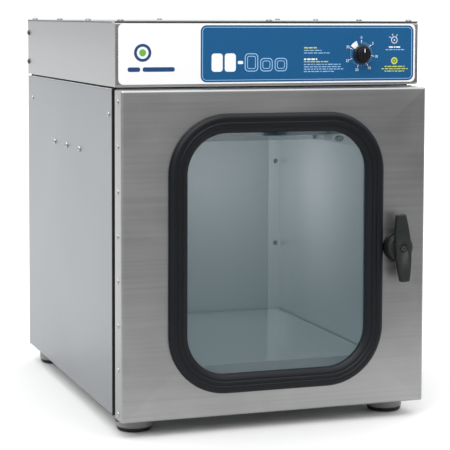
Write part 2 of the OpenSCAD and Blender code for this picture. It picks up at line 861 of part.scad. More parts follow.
module latch_cam() {
  color("silver") at_latch() difference() {
    slab_y(cam_y, cam_y + cam_t) {
      circle(6.3);
      translate([-cam_w / 2, 0]) square([cam_w, cam_l]);
    }
    rod_y(shaft_r, 0, cam_y - 1, cam_y + cam_t + 1, 0);
  }
}

module latch_nut() {
  y0 = cam_y + cam_t;
  color("gray") at_latch() difference() {
    translate([0, y0, 0]) rotate([-90, 0, 0]) cylinder(r = 6, h = nut_h, $fn = 6);
    rod_y(shaft_r, 0, y0 - 1, y0 + nut_h + 1, 0);
  }
}

left_side_panel();
right_side_panel();
back_panel();
base_pan();
chamber_floor();
top_deck();
front_frame();
foot_cups();
foot_pads();
foot_bolts();
lamp_tray();
uv_tube_front();
uv_tube_rear();
lamp_caps();
lamp_holders_left();
lamp_holders_right();
tray_screws();
tray_cap_nuts();
side_rivets();
back_rivets();
head_foam_strip();
head_base();
head_left_side();
head_right_side();
head_front();
head_back();
head_lid();
lid_screws();
head_side_screws();
control_overlay();
timer_body();
ballast();
terminal_block();
wiring();
inlet_socket();
inlet_pins();
panel_screws();
keeper();
interlock_sensor();
hinge_body_leaf();
hinge_pin();
door_skin();
door_inner_panel();
door_seal();
window_rubber();
window_locking_strip();
window_pane();
hinge_door_leaf();
hinge_rivets();
interlock_magnet();
latch_escutcheon();
latch_wing();
latch_shaft();
latch_cam();
latch_nut();
latch_screw();
timer_knob();
timer_shaft();
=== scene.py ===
import math
import random

import bmesh
import bpy
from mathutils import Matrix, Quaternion, Vector


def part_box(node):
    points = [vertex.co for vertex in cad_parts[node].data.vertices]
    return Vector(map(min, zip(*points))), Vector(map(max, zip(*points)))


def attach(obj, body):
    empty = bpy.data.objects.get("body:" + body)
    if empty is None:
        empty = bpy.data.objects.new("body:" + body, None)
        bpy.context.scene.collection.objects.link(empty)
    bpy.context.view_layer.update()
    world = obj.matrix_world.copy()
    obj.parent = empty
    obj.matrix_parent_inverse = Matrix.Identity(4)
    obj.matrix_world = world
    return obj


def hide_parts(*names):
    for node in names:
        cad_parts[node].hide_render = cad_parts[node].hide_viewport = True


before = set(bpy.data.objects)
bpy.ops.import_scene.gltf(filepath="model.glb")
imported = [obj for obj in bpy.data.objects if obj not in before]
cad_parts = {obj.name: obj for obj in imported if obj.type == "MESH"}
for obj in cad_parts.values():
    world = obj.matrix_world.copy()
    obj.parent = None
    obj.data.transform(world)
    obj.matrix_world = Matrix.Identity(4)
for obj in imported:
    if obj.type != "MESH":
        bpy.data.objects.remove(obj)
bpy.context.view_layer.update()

mm = 0.001
print("frame loaded with", len(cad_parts), "parts")


def spanOf(node):
    low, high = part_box(node)
    return Vector(low), Vector(high)


doorLow, doorHigh = spanOf("door_skin")
frontY = doorLow.y                        # the door's front face
doorBackY = doorHigh.y
halfWidth = doorHigh.x
headLow, headHigh = spanOf("head_front")
headY = headLow.y                         # the control head's front face
bodyLow, bodyHigh = spanOf("back_panel")
filmLow, filmHigh = spanOf("control_overlay")
rubberLow, rubberHigh = spanOf("window_rubber")
rubberCentre = ((rubberLow.x + rubberHigh.x) / 2, (rubberLow.z + rubberHigh.z) / 2)
rubberWidth = rubberHigh.x - rubberLow.x
rubberHeight = rubberHigh.z - rubberLow.z
shaftLow, shaftHigh = spanOf("latch_shaft")
latchX = (shaftLow.x + shaftHigh.x) / 2
latchZ = (shaftLow.z + shaftHigh.z) / 2
timerLow, timerHigh = spanOf("timer_shaft")
timerX = (timerLow.x + timerHigh.x) / 2
timerZ = (timerLow.z + timerHigh.z) / 2
sheet = bodyHigh.y - bodyLow.y            # thickness of the steel


def roundedOutline(width, height, radius, steps=10):
    # corner arcs of a rectangle, counter-clockwise seen from the front
    points = []
    for corner in range(4):
        sideX = 1 if corner in (0, 3) else -1
        sideZ = 1 if corner in (0, 1) else -1
        for k in range(steps + 1):
            a = math.radians(90 * corner + 90 * k / steps)
            points.append((sideX * (width / 2 - radius) + radius * math.cos(a),
                           sideZ * (height / 2 - radius) + radius * math.sin(a)))
    return points


def circleOutline(radius, steps=32):
    return [(radius * math.cos(2 * math.pi * k / steps), radius * math.sin(2 * math.pi * k / steps))
            for k in range(steps)]


def addRing(bm, outline, centre, y):
    return [bm.verts.new((centre[0] + x, y, centre[1] + z)) for x, z in outline]


def joinRings(bm, a, b):
    for k in range(len(a)):
        n = (k + 1) % len(a)
        bm.faces.new((a[k], a[n], b[n], b[k]))


def addSlab(bm, outline, centre, yFront, yBack):
    # a closed plate of any outline without holes
    front = addRing(bm, outline, centre, yFront)
    back = addRing(bm, outline, centre, yBack)
    joinRings(bm, front, back)
    bm.faces.new(front)
    bm.faces.new(back)


def addBand(bm, outer, inner, centre, yFront, yBack):
    # a closed plate between two outlines with the same number of points
    rings = [addRing(bm, outer, centre, yFront), addRing(bm, outer, centre, yBack),
             addRing(bm, inner, centre, yBack), addRing(bm, inner, centre, yFront)]
    for k in range(4):
        joinRings(bm, rings[k], rings[(k + 1) % 4])


def addLathe(bm, profile, place, steps=48):
    # profile is a list of (radius, distance); place turns (radial x, radial z, distance) into a point
    rings = []
    for r, d in profile:
        if r < 1e-7:
            rings.append([bm.verts.new(place(0, 0, d))])
            continue
        rings.append([bm.verts.new(place(r * math.cos(2 * math.pi * k / steps),
                                         r * math.sin(2 * math.pi * k / steps), d)) for k in range(steps)])
    for a, b in zip(rings, rings[1:]):
        for k in range(steps):
            n = (k + 1) % steps
            if len(a) == 1 and len(b) > 1:
                bm.faces.new((a[0], b[k], b[n]))
            elif len(b) == 1 and len(a) > 1:
                bm.faces.new((a[k], a[n], b[0]))
            elif len(a) > 1:
                bm.faces.new((a[k], a[n], b[n], b[k]))
    return rings


def forwardFrom(x, y, z):
    # distances count from y towards the front
    return lambda u, v, d: (x + u, y - d, z + v)


def upFrom(x, y, z):
    return lambda u, v, d: (x + u, y + v, z + d)


def filletPath(points, radius, steps=6):
    # samples of a polyline with round bends, each with the normal to its left
    samples = []
    last = len(points) - 1
    for i, p in enumerate(points):
        p = Vector(p)
        if 0 < i < last:
            into = (p - Vector(points[i - 1])).normalized()
            out = (Vector(points[i + 1]) - p).normalized()
            turn = math.atan2(into.x * out.y - into.y * out.x, into.dot(out))
            reach = radius * math.tan(abs(turn) / 2)
            left = Vector((-into.y, into.x)) * (1 if turn > 0 else -1)
            centre = p - into * reach + left * radius
            for k in range(steps + 1):
                a = turn * k / steps
                arm = -left
                spoke = Vector((arm.x * math.cos(a) - arm.y * math.sin(a),
                                arm.x * math.sin(a) + arm.y * math.cos(a)))
                samples.append((centre + spoke * radius, -spoke if turn > 0 else spoke))
        else:
            other = Vector(points[1 if i == 0 else last - 1])
            way = (other - p if i == 0 else p - other).normalized()
            samples.append((p, Vector((-way.y, way.x))))
    return samples


def addBentSheet(bm, points, radius, thickness, start, end, place):
    # a folded sheet: points is its outer face in section, its metal lies to the left
    samples = filletPath(points, radius)
    section = [p for p, n in samples] + [p + n * thickness for p, n in reversed(samples)]
    near = [bm.verts.new(place(p.x, p.y, start)) for p in section]
    far = [bm.verts.new(place(p.x, p.y, end)) for p in section]
    joinRings(bm, near, far)
    count = len(samples)
    for ring in (near, far):
        for k in range(count - 1):
            bm.faces.new((ring[k], ring[k + 1], ring[2 * count - 2 - k], ring[2 * count - 1 - k]))


def bakeModifiers(obj):
    # replaces an object's mesh by its evaluated one and drops its modifiers
    graph = bpy.context.evaluated_depsgraph_get()
    made = bpy.data.meshes.new_from_object(obj.evaluated_get(graph), depsgraph=graph)
    old = obj.data
    obj.modifiers.clear()
    obj.data = made
    bpy.data.meshes.remove(old)


def looseObject(name, bm):
    mesh = bpy.data.meshes.new(name)
    bmesh.ops.recalc_face_normals(bm, faces=bm.faces)
    bm.to_mesh(mesh)
    bm.free()
    obj = bpy.data.objects.new(name, mesh)
    bpy.context.scene.collection.objects.link(obj)
    return obj


def soften(obj, width, segments=3, angle=30):
    bevel = obj.modifiers.new("edges", "BEVEL")
    bevel.width = width
    bevel.segments = segments
    bevel.limit_method = "ANGLE"
    bevel.angle_limit = math.radians(angle)
    obj.data.polygons.foreach_set("use_smooth", [True] * len(obj.data.polygons))
    level = obj.modifiers.new("normals", "WEIGHTED_NORMAL")
    level.mode = "FACE_AREA"
    level.weight = 100
    bakeModifiers(obj)


def cut(obj, tool):
    change = obj.modifiers.new("cut", "BOOLEAN")
    change.object = tool
    change.operation = "DIFFERENCE"
    change.solver = "EXACT"
    bakeModifiers(obj)
    bpy.data.objects.remove(tool)


def boreFront(obj, radius, x, y, z):
    # a round hole through whatever lies within 3 mm of y
    tool = bmesh.new()
    addLathe(tool, [(0, -3 * mm), (radius, -3 * mm), (radius, 3 * mm), (0, 3 * mm)], forwardFrom(x, y, z))
    cut(obj, looseObject("boreTool", tool))


def finishPiece(obj, material, body, replaced=(), smoothAngle=32):
    obj.data.materials.clear()
    obj.data.materials.append(material)
    obj.data.polygons.foreach_set("material_index", [0] * len(obj.data.polygons))
    obj.data.polygons.foreach_set("use_smooth", [True] * len(obj.data.polygons))
    if smoothAngle and not obj.data.has_custom_normals:
        obj.data.set_sharp_from_angle(angle=math.radians(smoothAngle))
    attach(obj, body)
    if replaced:
        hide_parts(*replaced)
    return obj


def easedCopy(node, name, width, material, body):
    # the same shape as a CAD part with its sharp edges broken
    bm = bmesh.new()
    bm.from_mesh(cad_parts[node].data)
    bmesh.ops.remove_doubles(bm, verts=bm.verts, dist=0.002 * mm)
    bmesh.ops.dissolve_limit(bm, angle_limit=math.radians(0.5), verts=bm.verts, edges=bm.edges)
    obj = looseObject(name, bm)
    soften(obj, width, 2)
    return finishPiece(obj, material, body, (node,))


def makeGroup(name, inputs, outputs):
    tree = bpy.data.node_groups.new(name, "ShaderNodeTree")
    for label, kind, value in inputs:
        socket = tree.interface.new_socket(name=label, in_out="INPUT", socket_type=kind)
        socket.default_value = value
    for label, kind in outputs:
        tree.interface.new_socket(name=label, in_out="OUTPUT", socket_type=kind)
    return tree, tree.nodes.new("NodeGroupInput"), tree.nodes.new("NodeGroupOutput")


def addNode(tree, kind, settings=None, **values):
    node = tree.nodes.new(kind)
    for key, value in (settings or {}).items():
        setattr(node, key, value)
    for key, value in values.items():
        node.inputs[key.replace("_", " ")].default_value = value
    return node


def mathNode(tree, operation, a, b=None):
    node = tree.nodes.new("ShaderNodeMath")
    node.operation = operation
    for index, source in enumerate((a, b)):
        if source is None:
            continue
        if isinstance(source, (int, float)):
            node.inputs[index].default_value = source
        else:
            tree.links.new(source, node.inputs[index])
    return node.outputs[0]


def swing(tree, source, amount):
    # turns 0..1 noise into a swing about zero
    return mathNode(tree, "MULTIPLY", mathNode(tree, "SUBTRACT", source, 0.5), amount)


def buildGrainGroup():
    # lines of brushing with broad soft patches over them
    tree, entry, leave = makeGroup(
        "brushedGrain",
        [("Vector", "NodeSocketVector", (0, 0, 0)), ("Stretch", "NodeSocketVector", (8, 700, 700)),
         ("Line Contrast", "NodeSocketFloat", 0.1), ("Patch Size", "NodeSocketFloat", 6.0),
         ("Patch Contrast", "NodeSocketFloat", 0.1)],
        [("Tint", "NodeSocketFloat"), ("Lines", "NodeSocketFloat"), ("Patches", "NodeSocketFloat")])
    stretched = addNode(tree, "ShaderNodeVectorMath", {"operation": "MULTIPLY"})
    tree.links.new(entry.outputs["Vector"], stretched.inputs[0])
    tree.links.new(entry.outputs["Stretch"], stretched.inputs[1])
    lines = addNode(tree, "ShaderNodeTexNoise", Scale=1.0, Detail=4.0, Roughness=0.6)
    tree.links.new(stretched.outputs[0], lines.inputs["Vector"])
    patches = addNode(tree, "ShaderNodeTexNoise", Detail=3.0, Roughness=0.55, Distortion=0.6)
    tree.links.new(entry.outputs["Vector"], patches.inputs["Vector"])
    tree.links.new(entry.outputs["Patch Size"], patches.inputs["Scale"])
    tint = mathNode(tree, "ADD", 1.0, swing(tree, lines.outputs["Fac"], entry.outputs["Line Contrast"]))
    tint = mathNode(tree, "ADD", tint, swing(tree, patches.outputs["Fac"], entry.outputs["Patch Contrast"]))
    tree.links.new(tint, leave.inputs["Tint"])
    tree.links.new(lines.outputs["Fac"], leave.inputs["Lines"])
    tree.links.new(patches.outputs["Fac"], leave.inputs["Patches"])
    return tree


def buildMottleGroup():
    # fine surface texture of moulded or coated pieces, with faint handling marks
    tree, entry, leave = makeGroup(
        "mouldedMottle",
        [("Vector", "NodeSocketVector", (0, 0, 0)), ("Pebble Size", "NodeSocketFloat", 900.0),
         ("Mark Size", "NodeSocketFloat", 30.0), ("Mark Contrast", "NodeSocketFloat", 0.1)],
        [("Tint", "NodeSocketFloat"), ("Pebbles", "NodeSocketFloat"), ("Marks", "NodeSocketFloat")])
    pebbles = addNode(tree, "ShaderNodeTexNoise", Detail=2.0, Roughness=0.5)
    marks = addNode(tree, "ShaderNodeTexNoise", Detail=5.0, Roughness=0.65, Distortion=0.8)
    for noise, label in ((pebbles, "Pebble Size"), (marks, "Mark Size")):
        tree.links.new(entry.outputs["Vector"], noise.inputs["Vector"])
        tree.links.new(entry.outputs[label], noise.inputs["Scale"])
    tint = mathNode(tree, "ADD", 1.0, swing(tree, marks.outputs["Fac"], entry.outputs["Mark Contrast"]))
    tree.links.new(tint, leave.inputs["Tint"])
    tree.links.new(pebbles.outputs["Fac"], leave.inputs["Pebbles"])
    tree.links.new(marks.outputs["Fac"], leave.inputs["Marks"])
    return tree


grainGroup = buildGrainGroup()
mottleGroup = buildMottleGroup()


def startMaterial(name, group, values):
    material = bpy.data.materials.new(name)
    material.use_nodes = True
    tree = material.node_tree
    shader = tree.nodes["Principled BSDF"]
    place = tree.nodes.new("ShaderNodeTexCoord")
    effect = tree.nodes.new("ShaderNodeGroup")
    effect.node_tree = group
    tree.links.new(place.outputs["Object"], effect.inputs["Vector"])
    for label, value in values.items():
        effect.inputs[label].default_value = value
    return material, tree, shader, effect


def tintBase(tree, shader, effect, colour):
    scaled = addNode(tree, "ShaderNodeVectorMath", {"operation": "SCALE"})
    scaled.inputs[0].default_value = colour
    tree.links.new(effect.outputs["Tint"], scaled.inputs["Scale"])
    tree.links.new(scaled.outputs[0], shader.inputs["Base Color"])
    return scaled.outputs[0]


def driveRoughness(tree, shader, base, *swings):
    value = base
    for source, amount in swings:
        value = mathNode(tree, "ADD", swing(tree, source, amount), value)
    tree.links.new(value, shader.inputs["Roughness"])


def addBump(tree, shader, source, strength, depth):
    bump = addNode(tree, "ShaderNodeBump", Strength=strength, Distance=depth)
    tree.links.new(source, bump.inputs["Height"])
    tree.links.new(bump.outputs["Normal"], shader.inputs["Normal"])


def steelMaterial(name, colour, roughness, stretch, lineContrast=0.1, patchContrast=0.1, patchSize=6.0,
                  patchGloss=0.1, relief=0.05, metallic=1.0, lineGloss=0.12, inside=None):
    material, tree, shader, effect = startMaterial(name, grainGroup, {
        "Stretch": stretch, "Line Contrast": lineContrast, "Patch Size": patchSize,
        "Patch Contrast": patchContrast})
    shader.inputs["Metallic"].default_value = metallic
    scaled = tintBase(tree, shader, effect, colour)
    driveRoughness(tree, shader, roughness, (effect.outputs["Patches"], patchGloss),
                   (effect.outputs["Lines"], lineGloss))
    if relief:
        addBump(tree, shader, effect.outputs["Lines"], relief, 0.05 * mm)
    if inside:
        reach, innerColour = inside            # another colour nearer the middle than this reach
        place = tree.nodes.new("ShaderNodeTexCoord")
        apart = tree.nodes.new("ShaderNodeSeparateXYZ")
        tree.links.new(place.outputs["Object"], apart.inputs[0])
        inner = mathNode(tree, "LESS_THAN", mathNode(tree, "ABSOLUTE", apart.outputs["X"]), reach)
        mix = addNode(tree, "ShaderNodeMix", {"data_type": "RGBA"})
        tree.links.new(inner, mix.inputs["Factor"])
        outerSocket, innerSocket = mix.inputs[6], mix.inputs[7]
        tree.links.new(scaled, outerSocket)
        innerSocket.default_value = (*innerColour, 1)
        tree.links.new(mix.outputs[2], shader.inputs["Base Color"])
    return material


def mouldedMaterial(name, colour, roughness, pebble=900.0, relief=0.1, depth=0.03, markContrast=0.15,
                    gloss=0.5, metallic=0.0, markSize=30.0):
    material, tree, shader, effect = startMaterial(name, mottleGroup, {
        "Pebble Size": pebble, "Mark Size": markSize, "Mark Contrast": markContrast})
    shader.inputs["Metallic"].default_value = metallic
    shader.inputs["Specular IOR Level"].default_value = gloss
    tintBase(tree, shader, effect, colour)
    driveRoughness(tree, shader, roughness, (effect.outputs["Marks"], 0.18))
    addBump(tree, shader, effect.outputs["Pebbles"], relief, depth * mm)
    return material


def platedMaterial(name, colour, roughness, relief=0.02, markContrast=0.1):
    return mouldedMaterial(name, colour, roughness, 1500.0, relief, 0.01, markContrast, 0.5, 1.0)


def inkMaterial(name, colour, markContrast):
    return mouldedMaterial(name, colour, 0.36, 1600.0, 0.02, 0.01, markContrast)


def paneMaterial(name, tint, clear, markSize):
    material, tree, shader, effect = startMaterial(name, mottleGroup, {
        "Mark Size": markSize, "Mark Contrast": 0.25})
    tintBase(tree, shader, effect, tint)
    shader.inputs["Alpha"].default_value = 1 - clear
    shader.inputs["IOR"].default_value = 1.52
    driveRoughness(tree, shader, 0.05, (effect.outputs["Marks"], 0.06))
    return material


alongX = (5, 330, 330)
alongY = (330, 5, 330)
doorSteel = steelMaterial("doorSteel", (0.345, 0.347, 0.345), 0.36, alongX, lineContrast=0.26,
                          patchContrast=0.34, patchSize=9.0, patchGloss=0.16)
sideSteel = steelMaterial("sideSteel", (0.185, 0.197, 0.212), 0.30, alongY, lineContrast=0.05,
                          patchContrast=0.16, patchSize=4.0, relief=0.0, metallic=0.80, lineGloss=0.02,
                          inside=(halfWidth - sheet / 2, (0.78, 0.81, 0.82)))
backSteel = steelMaterial("backSteel", (0.60, 0.63, 0.64), 0.50, alongX, lineContrast=0.04,
                          patchContrast=0.08, patchSize=4.0, patchGloss=0.06, relief=0.0, metallic=0.75,
                          lineGloss=0.02)
headSteel = steelMaterial("headSteel", (0.285, 0.295, 0.30), 0.32, alongY, lineContrast=0.05,
                          patchSize=5.0, patchGloss=0.06, relief=0.0, lineGloss=0.02)
frontSteel = steelMaterial("frontSteel", (0.40, 0.395, 0.39), 0.28, alongX, lineContrast=0.08,
                           patchContrast=0.12, patchSize=9.0, patchGloss=0.08)
insideSteel = steelMaterial("insideSteel", (0.74, 0.77, 0.78), 0.22, (300, 300, 5), lineContrast=0.03,
                            patchContrast=0.06, patchSize=5.0, patchGloss=0.05, relief=0.0, metallic=0.75,
                            lineGloss=0.02)
# painted shade: the outermost strip gets a dark colour where it is seen through the gap beside the door,
# standing in for the shade there; the rest keeps the frame's own paler colour
frameSteelPaintedShade = steelMaterial("frameSteelPaintedShade", (0.05, 0.052, 0.056), 0.30, alongX, lineContrast=0.05,
                           patchContrast=0.06, patchSize=5.0, patchGloss=0.05, relief=0.0, metallic=0.65,
                           lineGloss=0.02, inside=(halfWidth - 5 * mm, (0.60, 0.62, 0.65)))
floorSteel = steelMaterial("floorSteel", (0.66, 0.69, 0.70), 0.14, (5, 300, 300), lineContrast=0.03,
                           patchContrast=0.06, patchSize=5.0, patchGloss=0.05, relief=0.0, metallic=0.82,
                           lineGloss=0.02)
traySteel = steelMaterial("traySteel", (0.84, 0.85, 0.86), 0.10, alongX, lineContrast=0.03,
                          patchContrast=0.05, patchSize=8.0, patchGloss=0.04, relief=0.01)
hingeSteel = steelMaterial("hingeSteel", (0.11, 0.112, 0.115), 0.36, (700, 700, 30), lineContrast=0.2,
                           patchContrast=0.3, patchSize=25.0, patchGloss=0.15)
platedSteel = platedMaterial("platedSteel", (0.40, 0.41, 0.42), 0.24)
lidSteel = platedMaterial("lidSteel", (0.26, 0.26, 0.26), 0.30)
darkSteel = platedMaterial("darkSteel", (0.10, 0.10, 0.11), 0.38, 0.03, 0.2)
brightAluminium = platedMaterial("brightAluminium", (0.80, 0.81, 0.82), 0.26)
contactBrass = platedMaterial("contactBrass", (0.80, 0.68, 0.40), 0.24)
windowRubber = mouldedMaterial("windowRubber", (0.004, 0.005, 0.007), 0.44, 1400.0, 0.05, 0.01, 0.4, 0.22)
softSeal = mouldedMaterial("softSeal", (0.02, 0.02, 0.02), 0.75, 700.0, 0.25, 0.1, 0.3, 0.3)
foamBlack = mouldedMaterial("foamBlack", (0.015, 0.015, 0.015), 0.9, 500.0, 0.5, 0.2, 0.3, 0.2)
latchPlastic = mouldedMaterial("latchPlastic", (0.010, 0.013, 0.012), 0.5, 1100.0, 0.2, 0.04, 0.25, 0.3)
hubPlastic = mouldedMaterial("hubPlastic", (0.004, 0.004, 0.004), 0.42, 1100.0, 0.15, 0.03, 0.25, 0.25)
knobPlastic = mouldedMaterial("knobPlastic", (0.004, 0.004, 0.005), 0.34, 1400.0, 0.1, 0.03, 0.2, 0.3)
whitePlastic = mouldedMaterial("whitePlastic", (0.82, 0.81, 0.78), 0.45, 1200.0, 0.08, 0.02, 0.05)
ceramicWhite = mouldedMaterial("ceramicWhite", (0.85, 0.84, 0.82), 0.35, 1200.0, 0.05, 0.02, 0.05)
enamelWhite = mouldedMaterial("enamelWhite", (0.80, 0.80, 0.79), 0.25, 400.0, 0.05, 0.03, 0.06)
footGrey = mouldedMaterial("footGrey", (0.20, 0.20, 0.20), 0.42, 900.0, 0.15, 0.04, 0.3)
footRubber = mouldedMaterial("footRubber", (0.012, 0.012, 0.012), 0.6, 800.0, 0.25, 0.05, 0.3, 0.35)
wireSleeve = mouldedMaterial("wireSleeve", (0.06, 0.06, 0.065), 0.5, 1200.0, 0.05, 0.02, 0.2)
filmWhite = mouldedMaterial("filmWhite", (0.86, 0.86, 0.86), 0.32, 1600.0, 0.02, 0.01, 0.02)
filmBlue = mouldedMaterial("filmBlue", (0.006, 0.088, 0.225), 0.45, 1600.0, 0.03, 0.01, 0.05, 0.25)
inkNavy = inkMaterial("inkNavy", (0.008, 0.05, 0.17), 0.05)
inkSky = inkMaterial("inkSky", (0.30, 0.52, 0.78), 0.04)
inkWhite = inkMaterial("inkWhite", (0.86, 0.87, 0.88), 0.03)
inkGreen = inkMaterial("inkGreen", (0.13, 0.42, 0.06), 0.05)
inkYellow = inkMaterial("inkYellow", (0.55, 0.62, 0.08), 0.05)
paneGlass = paneMaterial("paneGlass", (0.05, 0.13, 0.16), 0.84, 3.0)
tubeGlass = paneMaterial("tubeGlass", (0.20, 0.26, 0.29), 0.78, 20.0)
print("materials built")


doorPan = {"bend": 3.0 * mm, "corner": 2.2 * mm, "steps": 6, "underRubber": 9 * mm, "windowCorner": 61 * mm,
           "shaftBore": 6 * mm}
sidePanels = {"bend": 2.2 * mm, "flange": 7 * mm, "rear": 19 * mm, "gap": 0.5 * mm}
headShell = {"bend": 3.0 * mm, "sideBend": 2.0 * mm, "flange": 14 * mm, "lowerLip": 5 * mm, "gap": 0.5 * mm,
             "timerBore": 5.2 * mm}


def buildDoorPan():
    bm = bmesh.new()
    centre = (0, (doorLow.z + doorHigh.z) / 2)
    width = doorHigh.x - doorLow.x
    height = doorHigh.z - doorLow.z
    bend, corner, steps = doorPan["bend"], doorPan["corner"], doorPan["steps"]
    insets = [(0, doorBackY), (0, frontY + bend)]
    for k in range(1, steps + 1):
        a = math.radians(90 * k / steps)
        insets.append((bend * (1 - math.cos(a)), frontY + bend * (1 - math.sin(a))))
    rings = []
    for inset, y in insets:
        radius = max(corner - inset * 0.6, 0.4 * mm)
        outline = roundedOutline(width - 2 * inset, height - 2 * inset, radius, 4)
        rings.append(addRing(bm, outline, centre, y))
    for a, b in zip(rings, rings[1:]):
        joinRings(bm, a, b)
    hidden = doorPan["underRubber"]           # the hole's edge lies this far in under the rubber
    window = roundedOutline(rubberWidth - 2 * hidden, rubberHeight - 2 * hidden, doorPan["windowCorner"], 16)
    loops = [rings[-1], addRing(bm, window, rubberCentre, frontY),
             addRing(bm, circleOutline(doorPan["shaftBore"]), (latchX, latchZ), frontY)]
    edges = []
    for loop in loops:
        for k in range(len(loop)):
            pair = (loop[k], loop[(k + 1) % len(loop)])
            edges.append(bm.edges.get(pair) or bm.edges.new(pair))
    bmesh.ops.triangle_fill(bm, use_beauty=True, use_dissolve=False, edges=edges, normal=(0, -1, 0))
    obj = looseObject("doorPan", bm)
    if sum(p.normal.y * p.area for p in obj.data.polygons) > 0:
        obj.data.flip_normals()
    wall = obj.modifiers.new("wall", "SOLIDIFY")
    wall.thickness = sheet
    wall.offset = -1
    wall.use_even_offset = True
    bakeModifiers(obj)
    return finishPiece(obj, doorSteel, "door", ("door_skin",), 40)


def buildSidePanel(node, name, side):
    low, high = spanOf(node)
    outer = halfWidth * side
    inward = outer - side * sidePanels["flange"]
    path = [(inward, low.z), (outer, low.z), (outer, high.z), (inward, high.z)]
    bm = bmesh.new()
    addBentSheet(bm, path if side > 0 else path[::-1], sidePanels["bend"], sheet,
                 low.y + sidePanels["gap"], high.y, lambda a, b, d: (a, d, b))
    inner, edge = outer - side * sheet, outer - side * sidePanels["rear"]
    bottom, top = low.z + 2 * sheet, high.z - 2 * sheet
    rearFlange = [(inner, bottom), (inner, top), (edge, top), (edge, bottom)]
    addSlab(bm, rearFlange, (0, 0), high.y - sheet, high.y)
    return finishPiece(looseObject(name, bm), sideSteel, "cabinet", (node,))


def buildHeadSide(node, name, side):
    low, high = spanOf(node)
    outer = halfWidth * side
    inward = outer - side * headShell["flange"]
    lip = outer - side * headShell["lowerLip"]
    path = [(lip, low.z), (outer, low.z), (outer, high.z), (inward, high.z)]
    bm = bmesh.new()
    addBentSheet(bm, path if side > 0 else path[::-1], headShell["sideBend"], sheet,
                 low.y + headShell["gap"], high.y, lambda a, b, d: (a, d, b))
    return finishPiece(looseObject(name, bm), headSteel, "cabinet", (node,))


def buildHeadFront():
    path = [(headY + headShell["flange"], headHigh.z), (headY, headHigh.z), (headY, headLow.z),
            (headY + headShell["lowerLip"], headLow.z)]
    bm = bmesh.new()
    addBentSheet(bm, path, headShell["bend"], sheet, headLow.x, headHigh.x, lambda a, b, d: (d, a, b))
    obj = looseObject("headFront", bm)
    boreFront(obj, headShell["timerBore"], timerX, headY, timerZ)
    return finishPiece(obj, frontSteel, "cabinet", ("head_front",))


buildDoorPan()
buildSidePanel("left_side_panel", "sidePanelLeft", -1)
buildSidePanel("right_side_panel", "sidePanelRight", 1)
buildHeadSide("head_left_side", "headSideLeft", -1)
buildHeadSide("head_right_side", "headSideRight", 1)
buildHeadFront()
for node, name, width, material, body, slot in (
        ("head_lid", "headLid", 0.35, headSteel, "cabinet", "stainless_side"),
        ("head_back", "headBack", 0.35, sideSteel, "cabinet", "stainless_side"),
        ("back_panel", "backPanel", 0.35, backSteel, "cabinet", "stainless_side"),
        ("latch_escutcheon", "latchBase", 0.5, hubPlastic, "door", "black_plastic"),
        ("inlet_socket", "inletSocket", 0.5, hubPlastic, "cabinet", "black_plastic"),
        ("keeper", "keeperBracket", 0.3, platedSteel, "cabinet", "screw_steel"),
        ("latch_cam", "latchCam", 0.4, platedSteel, "latch", "screw_steel")):
    easedCopy(node, name, width * mm, material, body)
print("sheet metal built")


rubberRing = {"corner": 70 * mm, "steps": 20}
rubberSection = [                          # (distance in from the outer edge, height above the door) in mm
    (0.3, 0.0), (0.0, 0.9), (0.2, 2.4), (0.9, 4.2), (2.2, 5.8), (4.0, 6.7), (6.2, 7.0), (8.2, 6.8),
    (9.3, 6.4), (9.7, 5.9), (10.1, 6.3), (11.2, 6.7), (12.8, 6.6), (14.0, 6.2), (14.6, 5.7), (14.9, 5.2),
    (15.3, 5.5), (16.4, 5.4), (18.0, 4.8), (20.0, 3.8), (21.6, 2.6), (22.3, 1.9),
    (22.1, 1.5), (14.5, 1.5), (14.5, -2.5), (22.1, -2.5), (22.3, -3.2), (20.5, -5.6), (16.5, -7.4),
    (8.0, -8.0), (2.5, -6.8), (0.4, -4.0), (0.3, -1.2), (8.5, -1.2), (8.5, 0.0)]


def buildWindowRubber():
    bm = bmesh.new()
    rings = []
    for inset, rise in rubberSection:
        inset *= mm
        outline = roundedOutline(rubberWidth - 2 * inset, rubberHeight - 2 * inset,
                                 rubberRing["corner"] - inset, rubberRing["steps"])
        rings.append(addRing(bm, outline, rubberCentre, frontY - rise * mm))
    for k in range(len(rings)):
        joinRings(bm, rings[k], rings[(k + 1) % len(rings)])
    return finishPiece(looseObject("windowRubber", bm), windowRubber, "door",
                       ("window_rubber", "window_locking_strip"), 50)


buildWindowRubber()
print("window rubber built")


latchWing = {"length": 80 * mm, "middle": 9.9 * mm, "end": 5.3 * mm, "out": 20.5 * mm, "thick": 8.5 * mm,
             "tilt": 4.0, "edge": 1.3 * mm, "recess": 5.2 * mm, "hub": 16.5 * mm}


def turned(x, z, degrees):
    a = math.radians(degrees)
    return x * math.cos(a) - z * math.sin(a), x * math.sin(a) + z * math.cos(a)


